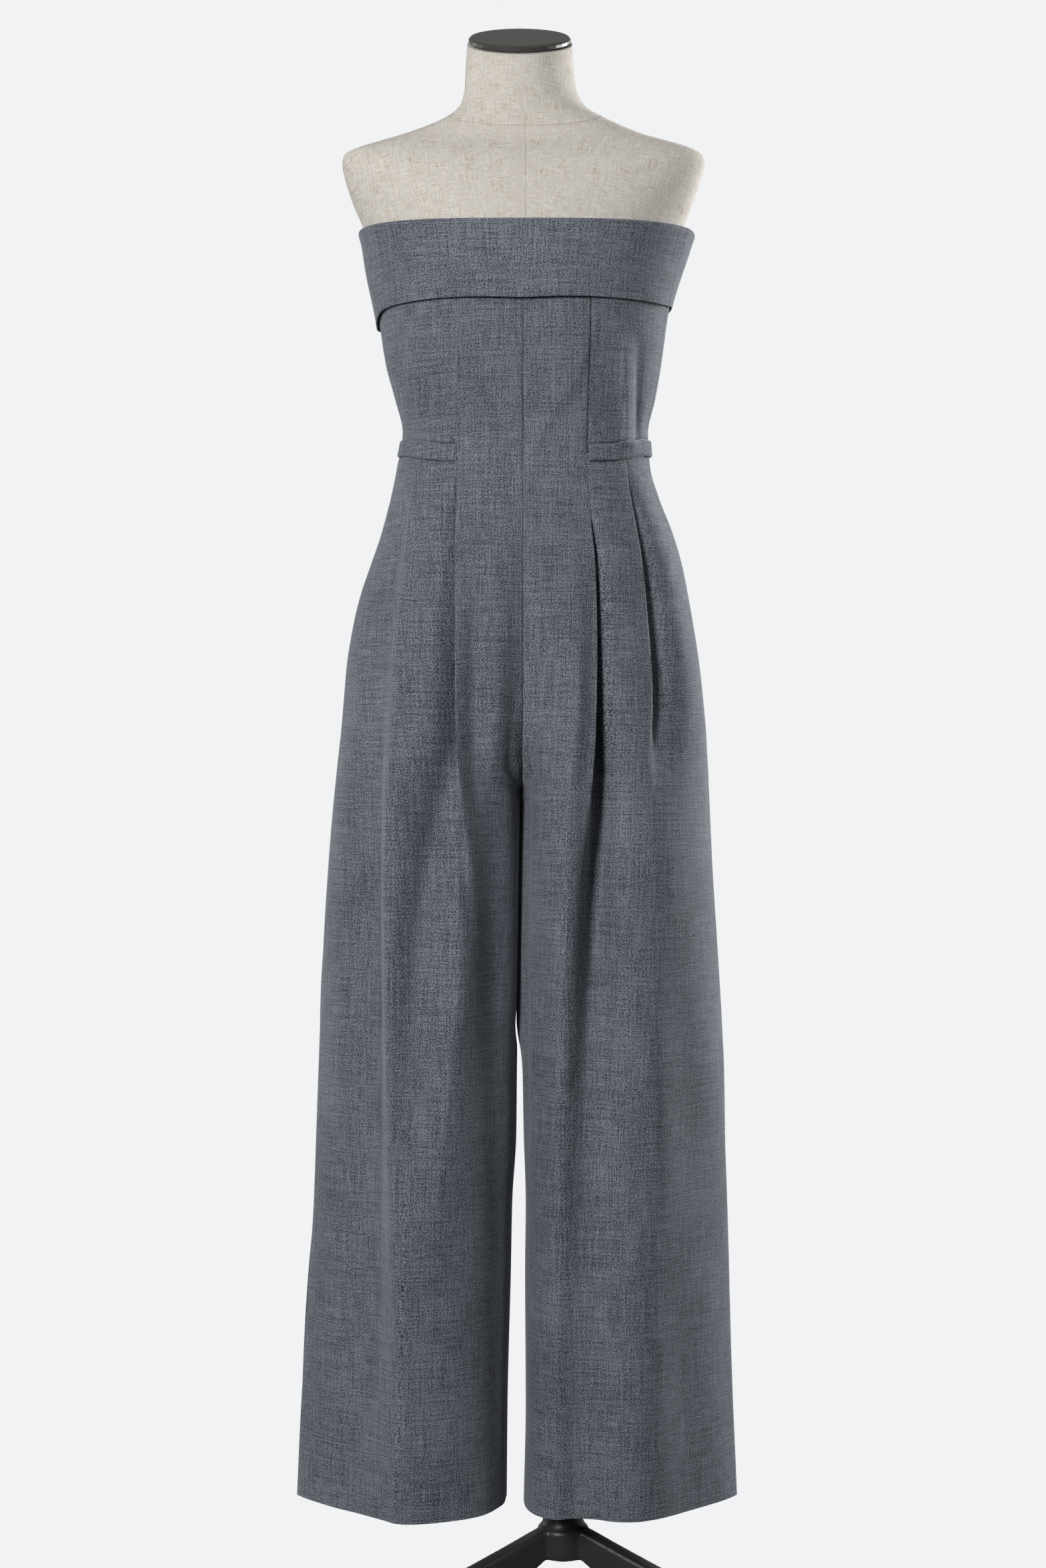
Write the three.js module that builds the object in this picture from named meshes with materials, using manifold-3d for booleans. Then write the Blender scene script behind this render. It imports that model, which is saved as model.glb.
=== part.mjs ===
import * as THREE from 'three';
import * as BufferGeometryUtils from 'three/addons/utils/BufferGeometryUtils.js';
import Module from 'manifold-3d';

// A strapless wide-leg jumpsuit with a fold-over cuff, on a limbless dress form with a tripod stand.
// Millimetres, +Z up, the front faces -Y. Left and right are as seen from the front: left is -X.

const wasm = await Module();
wasm.setup();

// ---------------------------------------------------------------- driving dimensions

const CLOTH = 1.6;            // wall of a single layer
const CUFF_CLOTH = 1.8;       // wall of the turned-over cuff
const SEAM_GAP = 0.3;         // between two pieces that are sewn together
const HALF_GAP = SEAM_GAP / 2;
const CUFF_TOP_FRONT = 1446;  // top fold of the cuff at centre front
const CUFF_TOP_RISE = 7;      // the top fold is higher at the sides
const CUFF_TURN = 7;          // the panels stop this far below the top fold
const TOP_ROW = 1439;         // row height of the panels' top edge
const CUFF_SEAM_ANGLE = 71;   // the cuff's side seams, degrees from centre front
const CUFF_SEAM_GAP = 0.13;   // half of the gap there, in degrees
const WELT_ROW = 1213;        // row height of the join under the welts
const WELT_RISE = 12;         // the welts climb this much towards the side seam
const WELT_HALF_HEIGHT = 8;
const WELT_THICK = 2.2;
const WELT_INSET = 1.5;       // from the princess seam to the welt's inner end
const WELT_CLEARANCE = 0.4;   // between the welt and the panels under it
const HEM = 131;
const SIDE_FULLNESS = 2.25;   // exponent of a section's outer corner; 2 is an ellipse
const END_STEP = 0.01;        // angle over which the cloth's direction is taken at a panel's end

const POLE_X = 42;            // the pole stands off centre, inside the right leg
const POLE_RADIUS = 13.5;
const SOCKET_RADIUS = 21;
const SOCKET_TOP = 112;
const BORE_FLOOR = 64;
const LEG_ANGLES = [-30, -150, 90];
const LEG_WIDTH = 20;
const LEG_REACH = 262;

// ---------------------------------------------------------------- tables

// A table turns rows with named columns into smooth functions of the first column.
function table(names, rows) {
  const sorted = [...rows].sort((p, q) => p[0] - q[0]);
  const keys = sorted.map((row) => row[0]);
  const result = {};
  names.slice(1).forEach((name, index) => {
    const values = sorted.map((row) => row[index + 1]);
    const slopes = monotoneSlopes(keys, values);
    result[name] = (key) => hermite(keys, values, slopes, key);
  });
  return result;
}

function monotoneSlopes(keys, values) {
  const secants = keys.slice(1).map((key, i) => (values[i + 1] - values[i]) / (key - keys[i]));
  return keys.map((_, i) => {
    const before = secants[i - 1] ?? secants[0];
    const after = secants[i] ?? secants[secants.length - 1];
    return before * after <= 0 ? 0 : (2 * before * after) / (before + after);
  });
}

function hermite(keys, values, slopes, key) {
  if (key <= keys[0]) return values[0];
  const last = keys.length - 1;
  if (key >= keys[last]) return values[last];
  let i = 0;
  while (key > keys[i + 1]) i += 1;
  const span = keys[i + 1] - keys[i];
  const t = (key - keys[i]) / span;
  const square = t * t;
  const cube = square * t;
  return (2 * cube - 3 * square + 1) * values[i] + (cube - 2 * square + t) * span * slopes[i]
    + (3 * square - 2 * cube) * values[i + 1] + (cube - square) * span * slopes[i + 1];
}

// The worn garment, one row for each level: how far its cloth reaches to the left, right, front and
// back, the fork angle at which a half ends at the middle (0: centre front, -90: inner leg seam),
// the exponent of its inner corners, the angle of the side seam, and the place of each leg's inner
// face left and right of the middle.
const GARMENT = table(
  ['z', 'left', 'right', 'front', 'back', 'fork', 'corner', 'seam', 'innerLeft', 'innerRight'],
  [
    [1460, 169, 172, 98, 83, 0, 2.3, 74, 0.15, 0.15],
    [1440, 163.5, 166, 100, 84, 0, 2.3, 74, 0.15, 0.15],
    [1400, 156.8, 157.5, 104, 86, 0, 2.3, 74, 0.15, 0.15],
    [1366, 151.5, 152, 105, 85, 0, 2.3, 75, 0.15, 0.15],
    [1314, 143.5, 144.9, 99, 82, 0, 2.3, 77, 0.15, 0.15],
    [1279, 134, 138.6, 92, 79, 0, 2.3, 78, 0.15, 0.15],
    [1244, 126, 131, 87, 77, 0, 2.3, 79, 0.15, 0.15],
    [1209, 131.6, 133, 88, 80, 0, 2.3, 80, 0.15, 0.15],
    [1174, 138.6, 143, 91, 86, 0, 2.3, 82, 0.15, 0.15],
    [1139, 147.7, 156.8, 94, 93, 0, 2.4, 84, 0.15, 0.15],
    [1104, 158.9, 166.6, 97, 101, -2, 2.6, 86, 0.15, 0.15],
    [1069, 170.1, 173, 100, 107, -6, 2.9, 87, 0.15, 0.15],
    [1034, 178.5, 178.5, 102, 110, -11, 3.2, 88, 0.15, 0.15],
    [999, 184.8, 183.4, 104, 111, -17, 3.6, 89, 0.15, 0.15],
    [960, 188.5, 187.5, 105, 110, -25, 4, 90, 0.15, 0.15],
    [929, 191.1, 190.4, 106, 109, -33, 4.5, 90, 0.15, 0.15],
    [905, 193.5, 191.8, 106, 108, -41, 4.8, 90, 0.16, 0.16],
    [888, 195, 193, 106, 107, -48, 5, 90, 0.18, 0.18],
    [876, 196, 193.6, 106, 107, -64, 5, 90, 0.2, 0.2],
    [866, 196.9, 194.2, 106, 106, -90, 5, 90, 0.25, 0.2],
    [789, 203, 198.8, 105, 103, -90, 5, 90, 0.8, -0.2],
    [719, 208.6, 203.7, 104, 102, -90, 5, 90, 1.5, -0.9],
    [649, 212.8, 207.9, 103, 100, -90, 4.8, 90, 2.8, -2],
    [614, 213.9, 209.4, 102.5, 99, -90, 4.7, 90, 5.6, -2.8],
    [579, 214.9, 210.7, 102, 98.5, -90, 4.6, 90, 6.3, 0],
    [509, 217, 211.4, 101, 98, -90, 4.4, 90, 7, 1.4],
    [439, 219.8, 214.2, 100, 97, -90, 4.2, 90, 11.2, 3.5],
    [369, 224.7, 217, 99, 96, -90, 4, 90, 12.6, 2.8],
    [229, 232.4, 221.2, 97, 95, -90, 3.8, 90, 16.1, 3.5],
    [131, 236.5, 224.8, 96, 94, -90, 3.7, 90, 17, 1.4],
  ],
);

// The line of each front pleat: how far it is from the middle at each level. The main line is the
// princess seam of the bodice and opens as a pleat below the waist, the side line starts at the welt.
const PLEAT_LINES = table(
  ['z', 'mainLeft', 'sideLeft', 'mainRight', 'sideRight'],
  [
    [1446, 66, 104, 70, 104],
    [1366, 65, 106, 68.8, 104],
    [1222, 65.9, 109, 65.6, 105.5],
    [1174, 69, 112, 67.5, 110.5],
    [1139, 70.9, 114.5, 71, 114.5],
    [1099, 71.5, 120.5, 75.5, 119.8],
    [1040, 71.5, 126.5, 76, 125.5],
    [1002, 71.5, 130.8, 76, 127.8],
    [922, 71, 134.7, 75.5, 129.5],
    [860, 69, 137.9, 74.5, 131],
    [777, 66, 140.6, 70.5, 133],
    [631, 67, 143.3, 69, 134],
    [439, 70, 137, 66, 134],
    [299, 71, 132, 64, 133],
    [131, 71, 130, 63, 132],
  ],
);

// Folds of the cloth. Each has a line (a distance from the middle, or a named pleat line), and one row
// for each level: rise is out of the cloth and negative for a trough, inner and outer are its widths
// towards the middle and towards the side, under slides the trough beneath the cloth beside it.
const FOLD_COLUMNS = ['z', 'rise', 'inner', 'outer', 'under'];
const CENTRE_FRONT = [[1200, 1], [800, 1]];

function fold(face, line, rows) {
  const place = typeof line === 'string' ? PLEAT_LINES[line] : table(['z', 'x'], line).x;
  return { face, place, ...table(FOLD_COLUMNS, rows) };
}

const FOLDS = {
  left: [
    // Main pleat: a trough against the edge of the centre panel, and the lip that overhangs it.
    fold('front', 'mainLeft', [
      [1160, 0, 3, 10, 0], [1100, -6, 3, 12, 2], [1040, -10, 3.2, 16, 3], [980, -13, 3.4, 20, 3.5],
      [922, -14, 4, 22, 3.5], [870, -9, 6, 20, 2], [820, -3, 9, 18, 0], [780, 0, 10, 18, 0],
    ]),
    // Ridge that carries on below the pleat to the hem.
    fold('front', 'mainLeft', [
      [960, 0, 14, 8, 0], [880, 4, 16, 10, 0], [790, 8, 18, 13, 0], [650, 8, 20, 16, 0],
      [439, 6, 22, 18, 0], [131, 9, 22, 22, 0],
    ]),
    // Side pleat: a raised crease from the welt that runs down most of the leg.
    fold('front', 'sideLeft', [
      [1215, 0, 10, 4, 0], [1150, 2.5, 12, 4, 0], [1040, 4, 14, 5, 0], [860, 5, 16, 7, 0],
      [631, 6, 16, 9, 0], [439, 5, 18, 12, 0], [131, 6, 20, 16, 0],
    ]),
    // Trough between the two ridges.
    fold('front', [[900, 108], [700, 103], [600, 118], [450, 122], [131, 100]], [
      [900, 0, 18, 18, 0], [800, -6, 18, 18, 0], [700, -8, 18, 18, 0], [600, -5, 18, 16, 0],
      [450, -2, 18, 18, 0], [131, -2, 16, 16, 0],
    ]),
    // The cloth lies flat between the crease and the side seam.
    fold('front', [[1100, 160], [900, 176], [131, 204]], [
      [1000, 0, 30, 30, 0], [800, -9, 28, 34, 0], [439, -15, 30, 36, 0], [131, -21, 34, 34, 0],
    ]),
    fold('front', [[1100, 50], [900, 48], [600, 42]], [
      [1120, 0, 12, 12, 0], [1000, -4, 12, 12, 0], [900, -5, 14, 12, 0], [600, -5, 16, 12, 0],
      [300, 0, 16, 12, 0],
    ]),
    // Hollow along the centre-front seam.
    fold('front', CENTRE_FRONT, [
      [1120, 0, 9, 9, 0], [1020, -2, 9, 9, 0], [930, -4, 9, 9, 0], [880, -3, 9, 9, 0], [840, 0, 9, 9, 0],
    ]),
    fold('back', [[1000, 110], [131, 120]], [
      [1120, 0, 22, 22, 0], [950, 3, 22, 20, 0], [600, 6, 24, 20, 0], [131, 7, 26, 24, 0],
    ]),
    fold('back', [[1000, 66], [131, 66]], [
      [980, 0, 20, 20, 0], [800, -6, 20, 20, 0], [500, -8, 24, 22, 0], [131, -6, 26, 24, 0],
    ]),
    fold('back', [[1000, 160], [131, 185]], [
      [980, 0, 26, 26, 0], [800, -5, 26, 26, 0], [400, -9, 30, 26, 0], [131, -11, 30, 28, 0],
    ]),
  ],
  right: [
    // Main pleat: a deep slit that widens into a soft valley down the leg.
    fold('front', 'mainRight', [
      [1142, 0, 3, 5, 0], [1115, -8, 3.5, 7, 1], [1060, -13, 4, 8, 2], [1000, -15, 4.5, 8, 2.5],
      [922, -16, 6, 9, 2.5], [860, -16, 10, 13, 1.5], [777, -15, 16, 19, 0], [631, -11, 20, 22, 0],
      [500, -6, 22, 24, 0], [400, -4, 24, 26, 0], [131, -13, 26, 26, 0],
    ]),
    // Side pleat: the front lies over the cloth behind it, which then comes slowly forward again.
    fold('front', 'sideRight', [
      [1215, 0, 3, 10, 0], [1160, -2.5, 3, 12, 0.5], [1099, -6, 3, 18, 2], [1053, -9, 3.2, 24, 3],
      [1002, -10, 3.5, 26, 3], [940, -8, 4, 26, 2], [890, -3, 8, 24, 0.5], [860, 0, 10, 22, 0],
    ]),
    // Hollow along the centre-front seam.
    fold('front', CENTRE_FRONT, [
      [1080, 0, 8, 8, 0], [990, -1.5, 8, 8, 0], [930, -3, 8, 8, 0], [880, -2, 8, 8, 0], [840, 0, 8, 8, 0],
    ]),
    // Front ridge beside the main pleat.
    fold('front', [[1050, 50], [800, 47], [500, 42], [300, 36]], [
      [1080, 0, 18, 10, 0], [1000, 3, 18, 11, 0], [860, 5, 20, 12, 0], [700, 6, 20, 13, 0],
      [500, 4, 20, 16, 0], [350, 0, 20, 18, 0],
    ]),
    // Outer ridge of the lower leg.
    fold('front', [[900, 134], [500, 137], [131, 132]], [
      [900, 0, 16, 20, 0], [780, 4, 16, 20, 0], [600, 5, 18, 22, 0], [131, 3, 22, 24, 0],
    ]),
    fold('back', [[1000, 105], [131, 118]], [
      [1100, 0, 22, 22, 0], [950, 3, 22, 22, 0], [600, 5, 24, 22, 0], [131, 8, 26, 24, 0],
    ]),
    fold('back', [[1000, 60], [131, 64]], [
      [960, 0, 20, 20, 0], [760, -7, 20, 22, 0], [450, -7, 24, 22, 0], [131, -8, 26, 24, 0],
    ]),
    fold('back', [[1000, 158], [131, 176]], [
      [960, 0, 26, 26, 0], [760, -5, 26, 26, 0], [350, -8, 30, 26, 0], [131, -9, 30, 28, 0],
    ]),
  ],
};

// The cuff all round, by angle from centre front, negative to the left: the height of its lower
// edge, and how far it stands off the bodice near its top fold and at its lower edge.
const CUFF = table(
  ['angle', 'edge', 'topOut', 'lowOut'],
  [
    [-180, 1362, 6, 6.5], [-120, 1357, 6, 6.5], [-92, 1352.5, 6.2, 6.5], [-80, 1355, 6.2, 7],
    [-71, 1360, 6.2, 7], [-60, 1365, 6, 7.5], [-30, 1367, 5.8, 8], [0, 1364.5, 5.8, 8.5],
    [30, 1367, 5.8, 8], [60, 1368.5, 6.5, 6], [75, 1371, 9, 4.5], [92, 1375, 10.5, 4],
    [120, 1371, 8, 5], [180, 1362, 6, 6.5],
  ],
);

// The cuff's section from its seam inside the top, over the fold and down to the lower edge.
// Rows of the turn give the drop below the top fold and the reach as a share of topOut.
const CUFF_TURN_ROWS = [
  { drop: 6.7, out: -1.6, share: 0 },
  { drop: 2.6, out: -1.4, share: 0.03 },
  { drop: 0.6, out: -0.4, share: 0.15 },
  { drop: 0, out: 0, share: 0.5 },
  { drop: 1.3, out: 0, share: 0.88 },
  { drop: 5, out: 0, share: 1 },
];
const CUFF_DROP_SHARES = [0.22, 0.48, 0.74, 1];

// The dress form, one row for each level, with the exponent of its section's corners.
const FORM = table(
  ['z', 'left', 'right', 'front', 'back', 'corner'],
  [
    [915, 128, 128, 52, 66, 2.1], [919, 142, 142, 62, 77, 2.1], [930, 152, 152, 68, 86, 2.1],
    [970, 160, 160, 76, 96, 2.15], [1034, 165, 165, 82, 103, 2.15], [1069, 162, 163, 83, 101, 2.15],
    [1104, 152, 157, 84, 96, 2.2], [1139, 141, 147, 85, 89, 2.2], [1174, 132, 136, 85, 82, 2.2],
    [1209, 125.5, 126, 83, 75, 2.2], [1244, 122, 126, 83, 73.5, 2.2], [1279, 130, 134.5, 88, 76, 2.2],
    [1314, 140, 141, 95, 79, 2.2], [1349, 146.5, 147.5, 101, 82, 2.2],
    [1366, 149.2, 149.8, 102.6, 82.5, 2.2], [1400, 154.4, 155, 101.4, 83, 2.2],
    [1440, 160.6, 162.8, 96.5, 80.5, 2.22], [1461, 168.3, 169, 91.5, 78, 2.4],
    [1489, 180, 179.5, 84, 74, 2.7], [1510, 186.5, 186.5, 76, 70, 2.9], [1524, 189, 190, 67, 66, 3],
    [1531, 187.6, 188.3, 61, 63, 3], [1538, 176, 178.5, 56, 60, 2.8], [1545, 156, 158.2, 52.5, 57.5, 2.5],
    [1552, 134, 134.5, 51, 56, 2.3], [1559, 113.5, 116, 50.5, 55, 2.2], [1566, 95.5, 100, 51, 54.5, 2.1],
    [1573, 81.5, 85, 52, 54.5, 2.05], [1580, 72, 72, 53, 55, 2], [1589, 65, 62.5, 54, 55.5, 2],
    [1605, 61.3, 56, 54.5, 56, 2], [1629, 60, 53, 54, 55, 2], [1652, 58.5, 51.5, 53, 53, 2],
  ],
);
const NECK_SLANT = Math.tan(THREE.MathUtils.degToRad(27));
const NECK_SLANT_START = 1592;
const NECK_TOP = 1652;
const FORM_LEVELS = [
  915, 919, 930, 970, 1034, 1104, 1174, 1244, 1314, 1366, 1400, 1424, 1440, 1450, 1461, 1489, 1510, 1524, 1531, 1538,
  1545, 1552, 1559, 1566, 1573, 1580, 1589, 1605, 1629, 1652,
];
const FORM_SIDES = 32;
const CAP_THICK = 7;
const CAP_RADIUS = 53.5;

// ---------------------------------------------------------------- sections of the garment

const radians = THREE.MathUtils.degToRad;
const SIGN = { left: -1, right: 1 };
const INNER = { left: 'innerLeft', right: 'innerRight' };
const mix = THREE.MathUtils.lerp;
const smooth = THREE.MathUtils.smoothstep;

// How far a superellipse of unit size reaches at an angle from its front.
function reach(angle, exponent) {
  return (Math.abs(Math.sin(angle)) ** exponent + Math.abs(Math.cos(angle)) ** exponent) ** (-1 / exponent);
}

// Half of the garment at one level: a rounded outline that ends at the fork angle near the middle.
function halfSection(side, z) {
  const inner = GARMENT[INNER[side]](z);
  const outer = GARMENT[side](z);
  const fork = radians(GARMENT.fork(z));
  const corner = GARMENT.corner(z);
  const halfWidth = (outer - inner) / (1 - reach(fork, corner) * Math.sin(fork));
  return {
    fork,
    corner,
    halfWidth,
    centre: outer - halfWidth,
    front: GARMENT.front(z),
    back: GARMENT.back(z),
    seam: radians(GARMENT.seam(z)),
  };
}

// A point of the smooth half section, x away from the middle. The angle runs from the fork angle,
// over 0 at the front and 90 degrees at the side, to the back.
function outlinePoint(section, angle) {
  const depth = angle < Math.PI / 2 ? section.front : section.back;
  const far = reach(angle, Math.sin(angle) < 0 ? section.corner : SIDE_FULLNESS);
  return new THREE.Vector2(
    section.centre + section.halfWidth * far * Math.sin(angle),
    -depth * far * Math.cos(angle),
  );
}

// The direction of the outline at an angle, and its length for each radian.
function outlineAlong(section, angle) {
  const step = 1e-3;
  const ahead = outlinePoint(section, angle + step);
  return ahead.sub(outlinePoint(section, angle - step)).divideScalar(2 * step);
}

// The angle of a line that runs at a given distance from the middle, on the front or the back.
function lineAngle(section, face, x) {
  const across = THREE.MathUtils.clamp((x - section.centre) / section.halfWidth, -0.98, 0.98);
  const exponent = across < 0 ? section.corner : SIDE_FULLNESS;
  const ahead = (1 - Math.abs(across) ** exponent) ** (1 / exponent);
  const angle = Math.atan2(across, ahead);
  return face === 'front' ? angle : Math.PI - angle;
}

// A point of the cloth's outer face with its folds, in the half's own x and world y.
function clothPoint(side, angle, z) {
  const section = halfSection(side, z);
  const point = outlinePoint(section, angle);
  const along = outlineAlong(section, angle).normalize();
  let rise = 0;
  let slide = 0;
  for (const crease of FOLDS[side]) {
    const at = lineAngle(section, crease.face, crease.place(z));
    const toSide = crease.face === 'front' ? 1 : -1;
    const distance = (angle - at) * outlineAlong(section, at).length() * toSide;
    const width = distance < 0 ? crease.inner(z) : crease.outer(z);
    const bell = Math.exp(-((distance / width) ** 2));
    rise += crease.rise(z) * bell;
    slide -= crease.under(z) * bell * toSide;
  }
  const outward = new THREE.Vector2(along.y, -along.x);
  return point.addScaledVector(outward, rise).addScaledVector(along, slide);
}

// Row heights bend up to the sides under the cuff and along the welts.
function levelHeight(angle, row) {
  const degrees = THREE.MathUtils.radToDeg(Math.abs(angle));
  const towardsTop = smooth(row, 1380, TOP_ROW);
  const topRise = CUFF_TOP_RISE * Math.sin(angle) ** 2;
  const nearWelt = Math.exp(-(((row - WELT_ROW) / 42) ** 2));
  const weltRise = WELT_RISE * smooth(degrees, 30, 74) * (1 - smooth(degrees, 84, 130));
  return row + topRise * towardsTop + weltRise * nearWelt;
}

// ---------------------------------------------------------------- walls

// A wall between two grids of points. Cells that the mask leaves out are open, and each edge of the
// rest is closed by a rim.
function wallGeometry(outer, inner, mask = () => true) {
  const rows = outer.length;
  const columns = outer[0].length;
  const positions = [...outer.flat(), ...inner.flat()].flatMap((point) => [point.x, point.y, point.z]);
  const indices = [];
  const outerIndex = (i, j) => i * columns + j;
  const innerIndex = (i, j) => rows * columns + i * columns + j;
  const kept = (i, j) => i >= 0 && j >= 0 && i < rows - 1 && j < columns - 1 && mask(i, j);
  const rim = (i, j, k, l) => {
    indices.push(outerIndex(i, j), outerIndex(k, l), innerIndex(i, j));
    indices.push(outerIndex(k, l), innerIndex(k, l), innerIndex(i, j));
  };
  for (let i = 0; i < rows - 1; i += 1) {
    for (let j = 0; j < columns - 1; j += 1) {
      if (!kept(i, j)) continue;
      indices.push(outerIndex(i, j), outerIndex(i + 1, j), outerIndex(i, j + 1));
      indices.push(outerIndex(i, j + 1), outerIndex(i + 1, j), outerIndex(i + 1, j + 1));
      indices.push(innerIndex(i, j), innerIndex(i, j + 1), innerIndex(i + 1, j));
      indices.push(innerIndex(i, j + 1), innerIndex(i + 1, j + 1), innerIndex(i + 1, j));
      if (!kept(i - 1, j)) rim(i, j, i, j + 1);
      if (!kept(i + 1, j)) rim(i + 1, j + 1, i + 1, j);
      if (!kept(i, j - 1)) rim(i + 1, j, i, j);
      if (!kept(i, j + 1)) rim(i, j + 1, i + 1, j + 1);
    }
  }
  return outwardGeometry(positions, indices);
}

// A geometry whose faces point out, with only the vertices that its faces use.
function outwardGeometry(positions, indices) {
  const corner = (index) => new THREE.Vector3().fromArray(positions, 3 * index);
  let volume = 0;
  for (let i = 0; i < indices.length; i += 3) {
    const [a, b, c] = indices.slice(i, i + 3).map(corner);
    volume += a.dot(b.cross(c));
  }
  const ordered = volume > 0 ? indices : [...indices].reverse();
  const geometry = new THREE.BufferGeometry();
  geometry.setAttribute('position', new THREE.Float32BufferAttribute(positions, 3));
  geometry.setIndex(ordered);
  const faces = geometry.toNonIndexed();
  return BufferGeometryUtils.mergeVertices(faces, 1e-4);
}

// The inner points of a row of cloth, one wall thickness in from its outer points. At the two ends
// the direction is that of the smooth surface, so that the pieces beside it meet it squarely.
function insetRow(side, points, angles, heights) {
  return points.map((point, j) => {
    const atEnd = j === 0 || j === points.length - 1;
    const before = atEnd ? clothPoint(side, angles[j] - END_STEP, heights[j]) : points[j - 1];
    const after = atEnd ? clothPoint(side, angles[j] + END_STEP, heights[j]) : points[j + 1];
    const along = new THREE.Vector2().subVectors(after, before).normalize();
    return new THREE.Vector2(point.x - along.y * CLOTH, point.y + along.x * CLOTH);
  });
}

// The inner points of a grid that is not level, found from the grid's own normals.
function insetGrid(grid, thickness) {
  const at = (i, j) => grid[THREE.MathUtils.clamp(i, 0, grid.length - 1)][
    THREE.MathUtils.clamp(j, 0, grid[0].length - 1)];
  return grid.map((row, i) => row.map((point, j) => {
    const across = new THREE.Vector3().subVectors(at(i, j + 1), at(i, j - 1));
    const down = new THREE.Vector3().subVectors(at(i + 1, j), at(i - 1, j));
    const normal = down.cross(across).normalize();
    return point.clone().addScaledVector(normal, -thickness);
  }));
}

function evenly(from, to, cells) {
  return Array.from({ length: cells + 1 }, (_, i) => mix(from, to, i / cells));
}

// ---------------------------------------------------------------- panels

const MAIN_OFFSETS = [-13, -6.5, -2.5, 0, 3.5, 8, 15];
const SIDE_OFFSETS = [-11, -4, 0, 4, 10];
const CENTRE_CELLS = 6;
const BETWEEN_CELLS = 2;
const OUTER_CELLS = 5;
const PRINCESS_COLUMN = CENTRE_CELLS + 3;
const PLEAT_LINE_OF = {
  left: { main: 'mainLeft', side: 'sideLeft' },
  right: { main: 'mainRight', side: 'sideRight' },
};

// The angles of the front panel's columns at one level. They follow the middle, the two pleats and
// the side seam, and lie closer together at the pleats.
function frontAngles(side, z) {
  const section = halfSection(side, z);
  const spread = (name, offsets) => {
    const at = lineAngle(section, 'front', PLEAT_LINES[PLEAT_LINE_OF[side][name]](z));
    const speed = outlineAlong(section, at).length();
    return offsets.map((offset) => at + offset / speed);
  };
  const main = spread('main', MAIN_OFFSETS);
  const second = spread('side', SIDE_OFFSETS);
  const end = section.seam - HALF_GAP / section.front;
  const first = section.fork + (section.fork < radians(-89) ? HALF_GAP / section.front : 0);
  return [
    ...evenly(first, main[0], CENTRE_CELLS),
    ...main.slice(1),
    ...evenly(main[main.length - 1], second[0], BETWEEN_CELLS).slice(1),
    ...second.slice(1),
    ...evenly(second[second.length - 1], end, OUTER_CELLS).slice(1),
  ];
}

// The angles of the front columns beyond the princess seam, the first one moved out by a gap.
function sideAngles(side, row, gap) {
  const [first, ...rest] = frontAngles(side, row).slice(PRINCESS_COLUMN);
  const speed = outlineAlong(halfSection(side, row), first).length();
  return [first + gap / speed, ...rest];
}

// The angles of the back panel's columns, from the side seam round to the middle.
function backAngles(side, z, cells) {
  const section = halfSection(side, z);
  const start = section.seam + HALF_GAP / section.front;
  const inseam = section.fork < radians(-89) ? HALF_GAP / section.back : 0;
  return evenly(start, Math.PI - section.fork - inseam, cells);
}

// A panel: outer and inner points on given rows, from the angles that columns(row height) gives.
function panelGeometry(side, rowHeights, columns, mask) {
  const outer = [];
  const inner = [];
  for (const row of rowHeights) {
    const angles = columns(row);
    const heights = angles.map((angle) => levelHeight(angle, row));
    const points = angles.map((angle, j) => clothPoint(side, angle, heights[j]));
    const inset = insetRow(side, points, angles, heights);
    const middle = GARMENT[INNER[side]](row);
    const place = (point, j) => new THREE.Vector3(SIGN[side] * Math.max(point.x, middle), point.y, heights[j]);
    outer.push(points.map(place));
    inner.push(inset.map(place));
  }
  return wallGeometry(outer, inner, mask);
}

const BODICE_ROWS = [TOP_ROW, 1404, 1366, 1325, 1284, 1246, WELT_ROW + WELT_HALF_HEIGHT];
const HIP_ROWS = [WELT_ROW - WELT_HALF_HEIGHT, 1180, 1150, 1120, 1080, 1040, 1000, 960, 925, 900, 884, 875, 866];
const LEG_ROWS = [836, 790, 740, 685, 632, 600, 550, 470, 370, 250, HEM];
const LOWER_ROWS = [WELT_ROW - HALF_GAP, ...HIP_ROWS, ...LEG_ROWS];
const BACK_CELLS = 13;

function frontPanel(side) {
  const rows = [...BODICE_ROWS, ...LOWER_ROWS];
  const firstLeg = BODICE_ROWS.length;
  const mask = (i, j) => i >= firstLeg || j < PRINCESS_COLUMN;
  return panelGeometry(side, rows, (row) => frontAngles(side, row), mask);
}

function sideFrontPanel(side) {
  const rows = [...BODICE_ROWS, WELT_ROW + HALF_GAP];
  return panelGeometry(side, rows, (row) => sideAngles(side, row, SEAM_GAP));
}

function backPanel(side) {
  const rows = [...BODICE_ROWS, WELT_ROW, ...HIP_ROWS, ...LEG_ROWS];
  return panelGeometry(side, rows, (row) => backAngles(side, row, BACK_CELLS));
}

// A welt lies on the panels along their join. Its outer end lifts off them towards the side seam.
function weltGeometry(side, lift) {
  const grid = (extra) => [WELT_HALF_HEIGHT, 0, -WELT_HALF_HEIGHT].map((above) => {
    const row = WELT_ROW + above;
    const angles = sideAngles(side, row, WELT_INSET);
    return angles.map((angle, j) => {
      const z = levelHeight(angle, row);
      const base = clothPoint(side, angle, z);
      const before = clothPoint(side, angle - END_STEP, z);
      const after = clothPoint(side, angle + END_STEP, z);
      const along = new THREE.Vector2().subVectors(after, before).normalize();
      const out = WELT_CLEARANCE + extra + lift * smooth(j / (angles.length - 1), 0.5, 1);
      return new THREE.Vector3(SIGN[side] * (base.x + along.y * out), base.y - along.x * out, z);
    });
  });
  return wallGeometry(grid(WELT_THICK), grid(0));
}

// ---------------------------------------------------------------- cuff

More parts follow.
